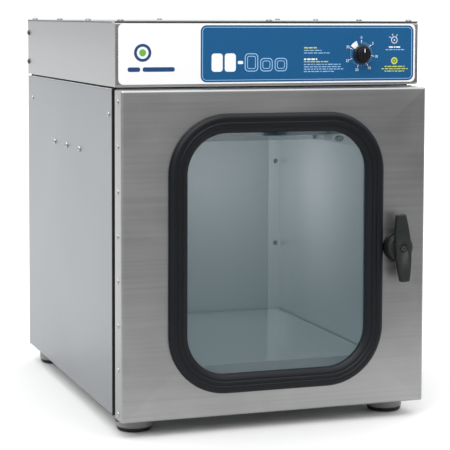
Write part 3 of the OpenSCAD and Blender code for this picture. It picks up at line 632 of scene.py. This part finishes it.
def buildLatchWing():
    half = latchWing["length"] / 2
    rows = 14
    side = []
    for k in range(rows + 1):
        z = -half + 2 * half * k / rows
        fall = (latchWing["middle"] - latchWing["end"]) * (abs(z) / half) ** 1.8
        side.append((latchWing["middle"] - fall, z))
    outline = [turned(x, z, latchWing["tilt"]) for x, z in side]
    outline += [turned(-x, z, latchWing["tilt"]) for x, z in reversed(side)]
    face = frontY - latchWing["out"]
    bm = bmesh.new()
    addSlab(bm, outline, (latchX, latchZ), face, face + latchWing["thick"])
    obj = looseObject("latchWing", bm)
    soften(obj, latchWing["edge"], 4, 40)
    recess = latchWing["recess"]
    tool = bmesh.new()
    addLathe(tool, [(0, -3 * mm), (recess * 0.9, -3 * mm), (recess, 3 * mm), (0, 3 * mm)],
             forwardFrom(latchX, face - 1 * mm, latchZ))
    cut(obj, looseObject("recessTool", tool))
    hub = bmesh.new()
    hub.from_mesh(obj.data)
    hubRadius = latchWing["hub"]
    profile = [(0, 4.4 * mm), (hubRadius - 0.8 * mm, 4.4 * mm), (hubRadius, 5.2 * mm),
               (hubRadius - 0.2 * mm, 9 * mm), (hubRadius - 1.2 * mm, 11.8 * mm),
               (hubRadius - 3 * mm, 12.6 * mm), (0, 12.6 * mm)]
    addLathe(hub, profile, forwardFrom(latchX, frontY, latchZ), 64)
    bmesh.ops.recalc_face_normals(hub, faces=hub.faces)
    hub.to_mesh(obj.data)
    hub.free()
    return finishPiece(obj, latchPlastic, "latch", ("latch_wing",), 50)


buildLatchWing()
print("latch built")


timerKnob = {"skirt": 10.9 * mm, "flutes": 20, "fluteDepth": 0.55 * mm, "height": 9 * mm, "gap": 2 * mm}


def buildTimerKnob():
    bm = bmesh.new()
    steps = timerKnob["flutes"] * 8
    height = timerKnob["height"]
    # (distance from the base, share of the radius, share of the flutes' depth)
    levels = [(0.0, 1.0, 0.2), (0.3 * mm, 1.015, 0.2), (2.2 * mm, 1.015, 0.2), (2.8 * mm, 0.97, 0.6),
              (3.2 * mm, 0.86, 1.0), (height - 1.0 * mm, 0.76, 1.0), (height - 0.3 * mm, 0.73, 0.8),
              (height, 0.68, 0.2)]
    rings = []
    for rise, share, flute in levels:
        ring = []
        for k in range(steps):
            a = 2 * math.pi * k / steps
            ripple = 0.5 - 0.5 * math.cos(a * timerKnob["flutes"])
            r = timerKnob["skirt"] / 1.015 * share - timerKnob["fluteDepth"] * flute * ripple
            ring.append(bm.verts.new((timerX + r * math.cos(a), headY - timerKnob["gap"] - rise,
                                      timerZ + r * math.sin(a))))
        rings.append(ring)
    for a, b in zip(rings, rings[1:]):
        joinRings(bm, a, b)
    bm.faces.new(rings[0])
    bm.faces.new(rings[-1])
    return finishPiece(looseObject("timerKnob", bm), knobPlastic, "knob", ("timer_knob",))


def buildKnobMark():
    face = headY - timerKnob["gap"] - timerKnob["height"]
    bm = bmesh.new()
    addSlab(bm, roundedOutline(0.9 * mm, 4.6 * mm, 0.4 * mm, 4), (timerX, timerZ + 4.4 * mm),
            face - 0.04 * mm, face + 0.1 * mm)
    return finishPiece(looseObject("knobMark", bm), inkWhite, "knob")


buildTimerKnob()
buildKnobMark()
print("timer knob built")


film = {"corner": 6 * mm, "ink": 0.04 * mm, "sink": 0.02 * mm, "bore": 7 * mm}
filmFace = filmLow.y
filmCentre = ((filmLow.x + filmHigh.x) / 2, (filmLow.z + filmHigh.z) / 2)
filmBottom = filmLow.z
filmLeft = filmLow.x


def onFilm(right, up):
    # a place on the film, in mm from its lower left corner
    return filmLeft + right * mm, filmBottom + up * mm


def inkPiece(name, bm, material):
    return finishPiece(looseObject(name, bm), material, "cabinet")


def inkSlab(bm, outline, centre, layer=1):
    addSlab(bm, outline, centre, filmFace - film["ink"] * layer, filmFace + film["sink"])


def inkBand(bm, outer, inner, centre, layer=1):
    addBand(bm, outer, inner, centre, filmFace - film["ink"] * layer, filmFace + film["sink"])


def buildFilm():
    bm = bmesh.new()
    outline = roundedOutline(filmHigh.x - filmLow.x, filmHigh.z - filmLow.z, film["corner"], 16)
    addSlab(bm, outline, filmCentre, filmFace, filmHigh.y)
    obj = looseObject("overlayFilm", bm)
    boreFront(obj, film["bore"], timerX, filmFace, timerZ)
    return finishPiece(obj, filmWhite, "cabinet", ("control_overlay",))


blueField = {"left": 97.6, "right": 365.8, "bottom": 1.8, "top": 67.2, "corner": 7.0}      # mm on the film


def buildBlueField():
    left, bottom = onFilm(blueField["left"], blueField["bottom"])
    right, top = onFilm(blueField["right"], blueField["top"])
    centre = ((left + right) / 2, (bottom + top) / 2)
    width, height = right - left, top - bottom

    def frameOutline(inset):
        radius = (blueField["corner"] - inset) * mm
        return roundedOutline(width - 2 * inset * mm, height - 2 * inset * mm, radius, 12)

    bm = bmesh.new()
    inkSlab(bm, frameOutline(0), centre)
    field = looseObject("blueField", bm)
    boreFront(field, film["bore"], timerX, filmFace, timerZ)
    finishPiece(field, filmBlue, "cabinet")
    bm = bmesh.new()
    inkBand(bm, frameOutline(0), frameOutline(0.9), centre, 2)
    inkPiece("blueEdge", bm, inkNavy)
    bm = bmesh.new()
    inkBand(bm, frameOutline(2.0), frameOutline(2.6), centre, 2)
    inkPiece("blueInset", bm, inkSky)


roundMark = {"place": (28.5, 36), "ring": (10.2, 6.9), "dot": 4.1, "bars": ((10.8, 25.5), (28.5, 66.5)),
             "barHeight": 5.2, "barUp": 17}


def buildRoundMark():
    # a plain ring and dot with two bars under it
    centre = onFilm(*roundMark["place"])
    outer, inner = roundMark["ring"]
    bm = bmesh.new()
    inkBand(bm, circleOutline(outer * mm, 40), circleOutline(inner * mm, 40), centre)
    inkPiece("roundMarkRing", bm, inkNavy)
    bm = bmesh.new()
    inkSlab(bm, circleOutline(roundMark["dot"] * mm, 32), centre)
    inkPiece("roundMarkDot", bm, inkGreen)
    bm = bmesh.new()
    for start, end in roundMark["bars"]:
        outline = roundedOutline((end - start) * mm, roundMark["barHeight"] * mm, 2.2 * mm, 6)
        inkSlab(bm, outline, onFilm((start + end) / 2, roundMark["barUp"]))
    inkPiece("roundMarkBars", bm, inkNavy)


title = {"up": 24.3, "tall": 21.0, "solid": ((117.5, 13.5), (133.5, 13.5)),
         "open": ((159.5, 16.5, 21.0), (178.0, 15.5, 15.5), (196.0, 15.5, 15.5))}


def buildTitle():
    # plain blocks stand where a title would be: solid (right, width), open (right, width, height)
    middle, tall = title["up"], title["tall"]
    bm = bmesh.new()
    for x, width in title["solid"]:
        inkSlab(bm, roundedOutline(width * mm, tall * mm, 3.4 * mm, 8), onFilm(x, middle), 2)
    inkSlab(bm, roundedOutline(6.5 * mm, 3.6 * mm, 1.2 * mm, 6), onFilm(146, middle), 2)
    inkPiece("titleSolid", bm, inkWhite)
    bm = bmesh.new()
    for x, width, height in title["open"]:
        place = onFilm(x, middle - (tall - height) / 2)
        inkBand(bm, roundedOutline(width * mm, height * mm, 4.5 * mm, 8),
                roundedOutline((width - 2.0) * mm, (height - 2.0) * mm, 3.5 * mm, 8), place, 2)
        inkBand(bm, roundedOutline((width - 6) * mm, (height - 6) * mm, 2.4 * mm, 8),
                roundedOutline((width - 7.6) * mm, (height - 7.6) * mm, 1.6 * mm, 8), place, 2)
    inkPiece("titleOpen", bm, inkSky)


# (start, end, height on the film, bar height, ink) of each line, in mm
captionLines = [
    (224.8, 241, 41.0, 1.5, "yellow"), (224.8, 247, 37.9, 1.0, "sky"), (224.8, 257.5, 34.9, 1.0, "sky"),
    (224.8, 243.5, 27.6, 1.8, "white"), (224.8, 257, 24.7, 1.1, "yellow"), (224.8, 271.5, 21.5, 1.0, "sky"),
    (224.8, 271.5, 18.7, 1.0, "sky"), (224.8, 274.8, 16.0, 1.0, "sky"), (224.8, 263, 13.2, 1.0, "sky"),
    (333.5, 348.5, 41.5, 1.6, "white"), (329.3, 353.4, 38.4, 1.0, "sky"),
    (328.2, 354.4, 18.4, 1.2, "yellow"), (324.3, 358.5, 15.7, 1.1, "yellow"),
    (328.1, 354.1, 12.9, 1.1, "yellow")]


def buildCaptions():
    # each line is a run of short bars in place of words
    chance = random.Random(5)
    inks = {"white": (inkWhite, bmesh.new()), "sky": (inkSky, bmesh.new()),
            "yellow": (inkYellow, bmesh.new())}
    for start, end, up, tall, ink in captionLines:
        x = start
        while x < end - 1.2:
            stop = min(x + chance.uniform(2.0, 6.5), end)
            inkSlab(inks[ink][1], roundedOutline((stop - x) * mm, tall * mm, 0.35 * tall * mm, 2),
                    onFilm((x + stop) / 2, up), 2)
            x = stop + 0.9
    for ink, (material, bm) in inks.items():
        inkPiece("captions" + ink.capitalize(), bm, material)


icons = {"timer": (340.7, 49.9), "lamp": (340.8, 25.2)}


def buildIcons():
    centre = onFilm(*icons["timer"])
    bm = bmesh.new()
    inkBand(bm, circleOutline(4.1 * mm, 32), circleOutline(3.4 * mm, 32), centre, 2)
    inkSlab(bm, circleOutline(0.9 * mm, 16), centre, 2)
    for angle in (60, 110, 150):
        corners = ((4.8, -0.35), (7.6, -0.35), (7.6, 0.35), (4.8, 0.35))
        inkSlab(bm, [turned(x * mm, z * mm, angle) for x, z in corners], centre, 2)
    inkPiece("timerIcon", bm, inkWhite)
    bm = bmesh.new()
    inkSlab(bm, circleOutline(4.2 * mm, 32), onFilm(*icons["lamp"]), 2)
    inkPiece("lampIcon", bm, inkYellow)
    bm = bmesh.new()
    inkBand(bm, circleOutline(2.3 * mm, 24), circleOutline(1.2 * mm, 24), onFilm(*icons["lamp"]), 3)
    inkPiece("lampIconRing", bm, inkNavy)


# radii and sizes in mm, angles in degrees
dial = {"zero": 90.0, "perMinute": 9.87, "minutes": 30, "tickIn": 12.2, "tickOut": 14.6, "longOut": 16.6,
        "numbers": 19.4, "size": 4.455, "padIn": 10.2, "padOut": 16.8, "padAngles": (112, 120, 128, 136, 144)}


def startGrowing(name, inputs):
    # a geometry tree with named inputs and its two end nodes
    tree = bpy.data.node_groups.new(name, "GeometryNodeTree")
    for label, kind in [("Geometry", "Geometry"), *inputs]:
        tree.interface.new_socket(name=label, in_out="INPUT", socket_type="NodeSocket" + kind)
    tree.interface.new_socket(name="Geometry", in_out="OUTPUT", socket_type="NodeSocketGeometry")
    return tree, tree.nodes.new("NodeGroupInput"), tree.nodes.new("NodeGroupOutput")


def endGrowing(tree, instances, material, leave):
    real = tree.nodes.new("GeometryNodeRealizeInstances")
    tree.links.new(instances, real.inputs["Geometry"])
    paint = tree.nodes.new("GeometryNodeSetMaterial")
    tree.links.new(real.outputs["Geometry"], paint.inputs["Geometry"])
    tree.links.new(material, paint.inputs["Material"])
    tree.links.new(paint.outputs["Geometry"], leave.inputs["Geometry"])


def dialTickTree():
    # a fan of ticks: one bar is turned about the middle, once for each step
    tree, entry, leave = startGrowing("dialTicks", (
        ("Count", "Int"), ("First Angle", "Float"), ("Step Angle", "Float"), ("Inner Radius", "Float"),
        ("Outer Radius", "Float"), ("Width", "Float"), ("Thickness", "Float"), ("Centre", "Vector"),
        ("Ink", "Material")))
    link = tree.links.new
    points = addNode(tree, "GeometryNodeMeshLine")
    link(entry.outputs["Count"], points.inputs["Count"])
    points.inputs["Offset"].default_value = (0, 0, 0)
    outer, inner = entry.outputs["Outer Radius"], entry.outputs["Inner Radius"]
    size = tree.nodes.new("ShaderNodeCombineXYZ")
    link(mathNode(tree, "SUBTRACT", outer, inner), size.inputs["X"])
    link(entry.outputs["Thickness"], size.inputs["Y"])
    link(entry.outputs["Width"], size.inputs["Z"])
    bar = tree.nodes.new("GeometryNodeMeshCube")
    link(size.outputs[0], bar.inputs["Size"])
    shift = tree.nodes.new("ShaderNodeCombineXYZ")
    link(mathNode(tree, "MULTIPLY", mathNode(tree, "ADD", outer, inner), 0.5), shift.inputs["X"])
    moved = tree.nodes.new("GeometryNodeTransform")
    link(bar.outputs["Mesh"], moved.inputs["Geometry"])
    link(shift.outputs[0], moved.inputs["Translation"])
    index = tree.nodes.new("GeometryNodeInputIndex")
    angle = mathNode(tree, "MULTIPLY", index.outputs[0], entry.outputs["Step Angle"])
    angle = mathNode(tree, "ADD", angle, entry.outputs["First Angle"])
    # a turn about +Y is clockwise from the front
    flip = mathNode(tree, "MULTIPLY", mathNode(tree, "RADIANS", angle), -1.0)
    rotation = tree.nodes.new("ShaderNodeCombineXYZ")
    link(flip, rotation.inputs["Y"])
    fan = tree.nodes.new("GeometryNodeInstanceOnPoints")
    link(points.outputs["Mesh"], fan.inputs["Points"])
    link(moved.outputs["Geometry"], fan.inputs["Instance"])
    link(rotation.outputs[0], fan.inputs["Rotation"])
    placed = tree.nodes.new("GeometryNodeTranslateInstances")
    link(fan.outputs["Instances"], placed.inputs["Instances"])
    link(entry.outputs["Centre"], placed.inputs["Translation"])
    placed.inputs["Local Space"].default_value = False
    endGrowing(tree, placed.outputs["Instances"], entry.outputs["Ink"], leave)
    return tree


def grown(name, tree, mesh, values):
    # an object whose mesh is what the tree makes of the given mesh
    obj = bpy.data.objects.new(name, mesh)
    bpy.context.scene.collection.objects.link(obj)
    maker = obj.modifiers.new("maker", "NODES")
    maker.node_group = tree
    for item in tree.interface.items_tree:
        if item.item_type == "SOCKET" and item.in_out == "INPUT" and item.name in values:
            maker[item.identifier] = values[item.name]
    bakeModifiers(obj)
    return obj


def buildDial():
    tree = dialTickTree()
    centre = (timerX, filmFace - 0.5 * film["ink"], timerZ)
    zero, perMinute, minutes = dial["zero"], dial["perMinute"], dial["minutes"]
    for name, count, step, outer, width, thickness, ink in (
            ("dialMinutes", minutes + 1, perMinute, dial["tickOut"], 0.35, 3 * film["ink"], inkSky),
            ("dialFives", minutes // 5 + 1, perMinute * 5, dial["longOut"], 0.75, 5 * film["ink"], inkWhite)):
        obj = grown(name, tree, bpy.data.meshes.new(name), {
            "Count": count, "First Angle": zero, "Step Angle": -step, "Inner Radius": dial["tickIn"] * mm,
            "Outer Radius": outer * mm, "Width": width * mm, "Thickness": thickness, "Centre": centre,
            "Ink": ink})
        finishPiece(obj, ink, "cabinet", smoothAngle=0)
    figures = bmesh.new()
    for k in range(minutes // 5 + 1):
        words = bpy.data.curves.new("figure", "FONT")
        words.body = str(5 * k)
        words.size = dial["size"] * mm
        words.align_x = "CENTER"
        words.align_y = "CENTER"
        words.extrude = 1.5 * film["ink"]
        words.resolution_u = 3
        holder = bpy.data.objects.new("figure", words)
        bpy.context.scene.collection.objects.link(holder)
        graph = bpy.context.evaluated_depsgraph_get()
        flat = bpy.data.meshes.new_from_object(holder.evaluated_get(graph), depsgraph=graph)
        bpy.data.objects.remove(holder)
        angle = math.radians(zero - perMinute * 5 * k)
        x = timerX + dial["numbers"] * mm * math.cos(angle)
        z = timerZ + dial["numbers"] * mm * math.sin(angle)
        for vertex in flat.vertices:
            a, b, c = vertex.co
            vertex.co = (x + a, filmFace - film["ink"] - c, z + b)
        figures.from_mesh(flat)
        bpy.data.meshes.remove(flat)
    inkPiece("dialFigures", figures, inkWhite)
    bm = bmesh.new()
    wedge = []
    for r, angles in ((dial["padIn"], dial["padAngles"][::-1]), (dial["padOut"], dial["padAngles"])):
        wedge += [(r * mm * math.cos(math.radians(a)), r * mm * math.sin(math.radians(a))) for a in angles]
    inkSlab(bm, wedge, (timerX, timerZ), 2)
    inkPiece("dialHoldPad", bm, inkWhite)


buildFilm()
buildBlueField()
buildRoundMark()
buildTitle()
buildCaptions()
buildIcons()
buildDial()
print("printed film built")


def fastenerTree():
    # puts a head on every point, facing the way the point says, with a random turn of its slot
    tree, entry, leave = startGrowing("fastenerRow", (
        ("Head", "Object"), ("Scale", "Float"), ("Turn Seed", "Int"), ("Finish", "Material")))
    link = tree.links.new
    head = tree.nodes.new("GeometryNodeObjectInfo")
    link(entry.outputs["Head"], head.inputs["Object"])
    facing = tree.nodes.new("GeometryNodeInputNamedAttribute")
    facing.data_type = "FLOAT_VECTOR"
    facing.inputs["Name"].default_value = "facing"
    aim = tree.nodes.new("FunctionNodeAlignRotationToVector")
    aim.axis = "Z"
    link(facing.outputs["Attribute"], aim.inputs["Vector"])
    spin = tree.nodes.new("FunctionNodeRandomValue")
    spin.data_type = "FLOAT"
    spin.inputs["Max"].default_value = math.pi
    link(entry.outputs["Turn Seed"], spin.inputs["Seed"])
    own = tree.nodes.new("ShaderNodeCombineXYZ")
    link(spin.outputs["Value"], own.inputs["Z"])
    turn = tree.nodes.new("FunctionNodeRotateRotation")
    turn.rotation_space = "LOCAL"
    link(aim.outputs["Rotation"], turn.inputs["Rotation"])
    link(own.outputs[0], turn.inputs["Rotate By"])
    row = tree.nodes.new("GeometryNodeInstanceOnPoints")
    link(entry.outputs["Geometry"], row.inputs["Points"])
    link(head.outputs["Geometry"], row.inputs["Instance"])
    link(turn.outputs["Rotation"], row.inputs["Rotation"])
    link(entry.outputs["Scale"], row.inputs["Scale"])
    endGrowing(tree, row.outputs["Instances"], entry.outputs["Finish"], leave)
    return tree


def screwHead():
    # a pan head with a cross recess, one unit wide at its rim
    bm = bmesh.new()
    addLathe(bm, [(0, -0.1), (0.96, -0.1), (1.0, 0.0), (1.0, 0.14), (0.97, 0.27), (0.88, 0.42), (0.72, 0.54),
                  (0.5, 0.61), (0.25, 0.635), (0, 0.64)], upFrom(0, 0, 0), 32)
    obj = looseObject("screwHead", bm)
    arm, width, floor = 0.52, 0.11, 0.28
    cross = [(width, -arm), (width, -width), (arm, -width), (arm, width), (width, width), (width, arm),
             (-width, arm), (-width, width), (-arm, width), (-arm, -width), (-width, -width), (-width, -arm)]
    tool = bmesh.new()
    low = [tool.verts.new((x, y, floor)) for x, y in cross]
    high = [tool.verts.new((x, y, 1.0)) for x, y in cross]
    joinRings(tool, low, high)
    tool.faces.new(low)
    tool.faces.new(high)
    cut(obj, looseObject("crossTool", tool))
    return obj


def rivetHead():
    bm = bmesh.new()
    addLathe(bm, [(0, -0.1), (0.97, -0.1), (1.0, 0.0), (0.98, 0.1), (0.9, 0.24), (0.75, 0.35), (0.52, 0.42),
                  (0.36, 0.44), (0.32, 0.42), (0.3, 0.33), (0, 0.31)], upFrom(0, 0, 0), 28)
    return looseObject("rivetHead", bm)


fastenerMaker = fastenerTree()
headShapes = {"screw": screwHead(), "rivet": rivetHead()}


def islandBoxes(node):
    # the low and high corner of the box round each solid of a CAD part
    bm = bmesh.new()
    bm.from_mesh(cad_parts[node].data)
    bmesh.ops.remove_doubles(bm, verts=bm.verts, dist=0.002 * mm)
    left = set(bm.verts)
    boxes = []
    while left:
        seen, queue = set(), [left.pop()]
        while queue:
            vertex = queue.pop()
            seen.add(vertex)
            for edge in vertex.link_edges:
                other = edge.other_vert(vertex)
                if other in left:
                    left.discard(other)
                    queue.append(other)
        boxes.append([Vector([pick(v.co[k] for v in seen) for k in range(3)]) for pick in (min, max)])
    bm.free()
    return boxes


def rowPlaces(node, axis, rise):
    # the seat lies a head's height under the outer end of each solid
    result = []
    for low, high in islandBoxes(node):
        seat = (low + high) / 2
        outward = 1 if (axis == 2 or seat[axis] > 0) else -1
        seat[axis] = (high[axis] if outward > 0 else low[axis]) - outward * rise
        facing = Vector((0, 0, 0))
        facing[axis] = outward
        result.append((seat, facing))
    return sorted(result, key=lambda place: tuple(place[0]))


fasteners = {"screw": {"radius": 3.7 * mm, "rise": 2.4 * mm}, "rivet": {"radius": 3.3 * mm, "rise": 1.5 * mm}}
acrossX, acrossZ = 0, 2


def buildRow(name, node, axis, shape, material, seed, body="cabinet", way=None):
    places = rowPlaces(node, axis, fasteners[shape]["rise"])
    mesh = bpy.data.meshes.new(name)
    mesh.from_pydata([tuple(seat) for seat, facing in places], [], [])
    store = mesh.attributes.new("facing", "FLOAT_VECTOR", "POINT")
    for k, (seat, facing) in enumerate(places):
        store.data[k].vector = way or facing
    obj = grown(name, fastenerMaker, mesh, {"Head": headShapes[shape], "Scale": fasteners[shape]["radius"],
                                            "Turn Seed": seed, "Finish": material})
    return finishPiece(obj, material, body, (node,))


buildRow("lidScrews", "lid_screws", acrossZ, "screw", lidSteel, 3)
buildRow("sideScrews", "tray_screws", acrossX, "screw", platedSteel, 11)
buildRow("headSideScrews", "head_side_screws", acrossX, "screw", darkSteel, 5)
buildRow("sideRivets", "side_rivets", acrossX, "rivet", platedSteel, 7)
buildRow("hingeRivets", "hinge_rivets", acrossX, "rivet", platedSteel, 9, "door", (-1, 0, 0))
for shape in headShapes.values():
    bpy.data.objects.remove(shape)
print("fasteners built")


feet = {"radius": 21.5 * mm, "padRadius": 20.6 * mm, "bore": 7 * mm}


def buildFeet():
    cups, pads = bmesh.new(), bmesh.new()
    top = bodyLow.z - 0.05 * mm
    seat = spanOf("foot_pads")[1].z           # where each cup sits on its pad
    r, p, bore = feet["radius"], feet["padRadius"], feet["bore"]
    cupProfile = [(bore, seat), (r - 1.2 * mm, seat), (r - 0.3 * mm, seat + 0.6 * mm), (r, seat + 2 * mm),
                  (r - 0.2 * mm, top - 2.95 * mm), (r - 0.7 * mm, top - 1.15 * mm), (r - 2 * mm, top),
                  (bore, top), (bore, seat)]
    padProfile = [(bore, 0), (p - 4 * mm, 0), (p - 2.2 * mm, 0.5 * mm), (p - 0.8 * mm, 1.7 * mm),
                  (p - 0.1 * mm, 3.4 * mm), (p - 0.3 * mm, seat), (bore, seat), (bore, 0)]
    for low, high in islandBoxes("foot_cups"):
        place = upFrom((low.x + high.x) / 2, (low.y + high.y) / 2, 0)
        addLathe(cups, cupProfile, place, 56)
        addLathe(pads, padProfile, place, 56)
    for bm in (cups, pads):
        bmesh.ops.remove_doubles(bm, verts=bm.verts, dist=0.001 * mm)
    finishPiece(looseObject("footCups", cups), footGrey, "cabinet", ("foot_cups",))
    finishPiece(looseObject("footPads", pads), footRubber, "cabinet", ("foot_pads",))


buildFeet()
print("feet built")


keptFinishes = {
    "base_pan": insideSteel, "chamber_floor": floorSteel, "top_deck": insideSteel, "front_frame": frameSteelPaintedShade,
    "foot_bolts": platedSteel, "lamp_tray": traySteel, "uv_tube_front": tubeGlass, "uv_tube_rear": tubeGlass,
    "lamp_caps": brightAluminium, "lamp_holders_left": ceramicWhite, "lamp_holders_right": ceramicWhite,
    "tray_cap_nuts": platedSteel, "back_rivets": platedSteel, "head_foam_strip": foamBlack,
    "head_base": insideSteel, "timer_body": whitePlastic, "ballast": enamelWhite,
    "terminal_block": whitePlastic, "wiring": wireSleeve, "inlet_pins": contactBrass,
    "panel_screws": platedSteel,
    "interlock_sensor": whitePlastic, "interlock_magnet": whitePlastic, "hinge_body_leaf": hingeSteel,
    "hinge_pin": hingeSteel, "hinge_door_leaf": hingeSteel, "door_inner_panel": insideSteel,
    "door_seal": softSeal, "window_pane": paneGlass, "latch_shaft": platedSteel, "latch_nut": platedSteel,
    "latch_screw": darkSteel, "timer_shaft": platedSteel,
}
for node, material in keptFinishes.items():
    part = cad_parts[node]
    part.data.materials.clear()
    part.data.materials.append(material)
print("finishes set")


heading = (0.327, 0.945, 0)                  # level, away from the camera
floorTone = {"size": 400.0, "near": 0.62, "far": 0.27, "fadeStart": -0.28, "fadeEnd": -0.68, "aside": 0.40,
             "asideX": (-0.1, 0.6), "asideY": (-0.8, -0.4)}
skyTone = {"behind": 1.04, "front": 0.47, "overhead": 2.4, "turnRange": (-0.7, 0.7),
           "heightRange": (0.25, 0.8)}
lamps = {"sun": 1.5, "sunSoftness": 50, "sunPlace": (-1.3, -2.4, 2.7),
         "chamber": 1.0, "chamberSize": 0.05, "chamberX": 0.07, "fromBack": 0.13, "aboveFloor": 0.20}


def lookAlong(holder, place, aim):
    holder.location = place
    holder.rotation_euler = (Vector(aim) - Vector(place)).to_track_quat("-Z", "Y").to_euler()


def rangeNode(tree, source, fromMin, fromMax, toMin, toMax):
    node = addNode(tree, "ShaderNodeMapRange", {"interpolation_type": "SMOOTHSTEP"})
    for label, value in (("From Min", fromMin), ("From Max", fromMax), ("To Min", toMin), ("To Max", toMax)):
        if isinstance(value, (int, float)):
            node.inputs[label].default_value = value
        else:
            tree.links.new(value, node.inputs[label])
    tree.links.new(source, node.inputs["Value"])
    return node.outputs["Result"]


def buildFloor():
    # pale round the cabinet, grey further in front and to the right, which the door reflects
    mesh = bpy.data.meshes.new("floor")
    s = floorTone["size"] / 2
    mesh.from_pydata([(-s, -s, 0), (s, -s, 0), (s, s, 0), (-s, s, 0)], [], [(0, 1, 2, 3)])
    floor = bpy.data.objects.new("floor", mesh)
    bpy.context.scene.collection.objects.link(floor)
    paint = bpy.data.materials.new("floorPaint")
    paint.use_nodes = True
    tree = paint.node_tree
    shader = tree.nodes["Principled BSDF"]
    shader.inputs["Roughness"].default_value = 0.8
    shader.inputs["Specular IOR Level"].default_value = 0.2
    place = tree.nodes.new("ShaderNodeTexCoord")
    ahead = addNode(tree, "ShaderNodeVectorMath", {"operation": "DOT_PRODUCT"})
    ahead.inputs[1].default_value = heading
    tree.links.new(place.outputs["Object"], ahead.inputs[0])
    tone = rangeNode(tree, ahead.outputs["Value"], floorTone["fadeEnd"], floorTone["fadeStart"],
                     floorTone["far"], floorTone["near"])
    apart = tree.nodes.new("ShaderNodeSeparateXYZ")
    tree.links.new(place.outputs["Object"], apart.inputs[0])
    aside = rangeNode(tree, apart.outputs["X"], *floorTone["asideX"], 1.0, floorTone["aside"])
    aside = rangeNode(tree, apart.outputs["Y"], *floorTone["asideY"], aside, 1.0)
    tree.links.new(mathNode(tree, "MULTIPLY", tone, aside), shader.inputs["Base Color"])
    mesh.materials.append(paint)


def buildSky():
    world = bpy.data.worlds.new("studio")
    bpy.context.scene.world = world
    world.use_nodes = True
    tree = world.node_tree
    back = tree.nodes["Background"]
    place = tree.nodes.new("ShaderNodeTexCoord")
    ahead = addNode(tree, "ShaderNodeVectorMath", {"operation": "DOT_PRODUCT"})
    ahead.inputs[1].default_value = heading
    tree.links.new(place.outputs["Generated"], ahead.inputs[0])
    apart = tree.nodes.new("ShaderNodeSeparateXYZ")
    tree.links.new(place.outputs["Generated"], apart.inputs[0])
    level = rangeNode(tree, ahead.outputs["Value"], *skyTone["turnRange"],
                      skyTone["front"], skyTone["behind"])
    strength = rangeNode(tree, apart.outputs["Z"], *skyTone["heightRange"], level, skyTone["overhead"])
    tree.links.new(strength, back.inputs["Strength"])
    back.inputs["Color"].default_value = (1, 1, 1, 1)


def addLamp(name, kind, power):
    lamp = bpy.data.lights.new(name, kind)
    lamp.energy = power
    holder = bpy.data.objects.new(name, lamp)
    bpy.context.scene.collection.objects.link(holder)
    return lamp, holder


def buildLamps():
    lamp, holder = addLamp("sun", "SUN", lamps["sun"])
    lamp.angle = math.radians(lamps["sunSoftness"])
    lookAlong(holder, lamps["sunPlace"], (0, 0, 0))
    # a weak hidden light in the chamber keeps its walls readable through the window
    floorHigh = spanOf("chamber_floor")[1]
    lamp, holder = addLamp("chamberLight", "POINT", lamps["chamber"])
    lamp.shadow_soft_size = lamps["chamberSize"]
    holder.location = (lamps["chamberX"], floorHigh.y - lamps["fromBack"], floorHigh.z + lamps["aboveFloor"])
    holder.visible_camera = False
    holder.visible_glossy = False


camera = {"place": (-0.6788, -2.0016, 0.4804), "yaw": 19.135, "pitch": -4.163, "roll": 0.185, "lens": 131.84,
          "shift": -0.2}


def buildCamera():
    data = bpy.data.cameras.new("camera")
    data.lens = camera["lens"]
    data.shift_y = camera["shift"]
    data.sensor_width = 36
    data.clip_end = 60
    holder = bpy.data.objects.new("camera", data)
    bpy.context.scene.collection.objects.link(holder)
    holder.location = camera["place"]
    yaw, pitch = math.radians(camera["yaw"]), math.radians(camera["pitch"])
    way = Vector((math.sin(yaw) * math.cos(pitch), math.cos(yaw) * math.cos(pitch), math.sin(pitch)))
    aim = way.to_track_quat("-Z", "Y")
    holder.rotation_mode = "QUATERNION"
    holder.rotation_quaternion = aim @ Quaternion((0, 0, 1), math.radians(camera["roll"]))
    bpy.context.scene.camera = holder


buildFloor()
buildSky()
buildLamps()
buildCamera()
bpy.context.scene.view_settings.view_transform = "Standard"
print("studio built")
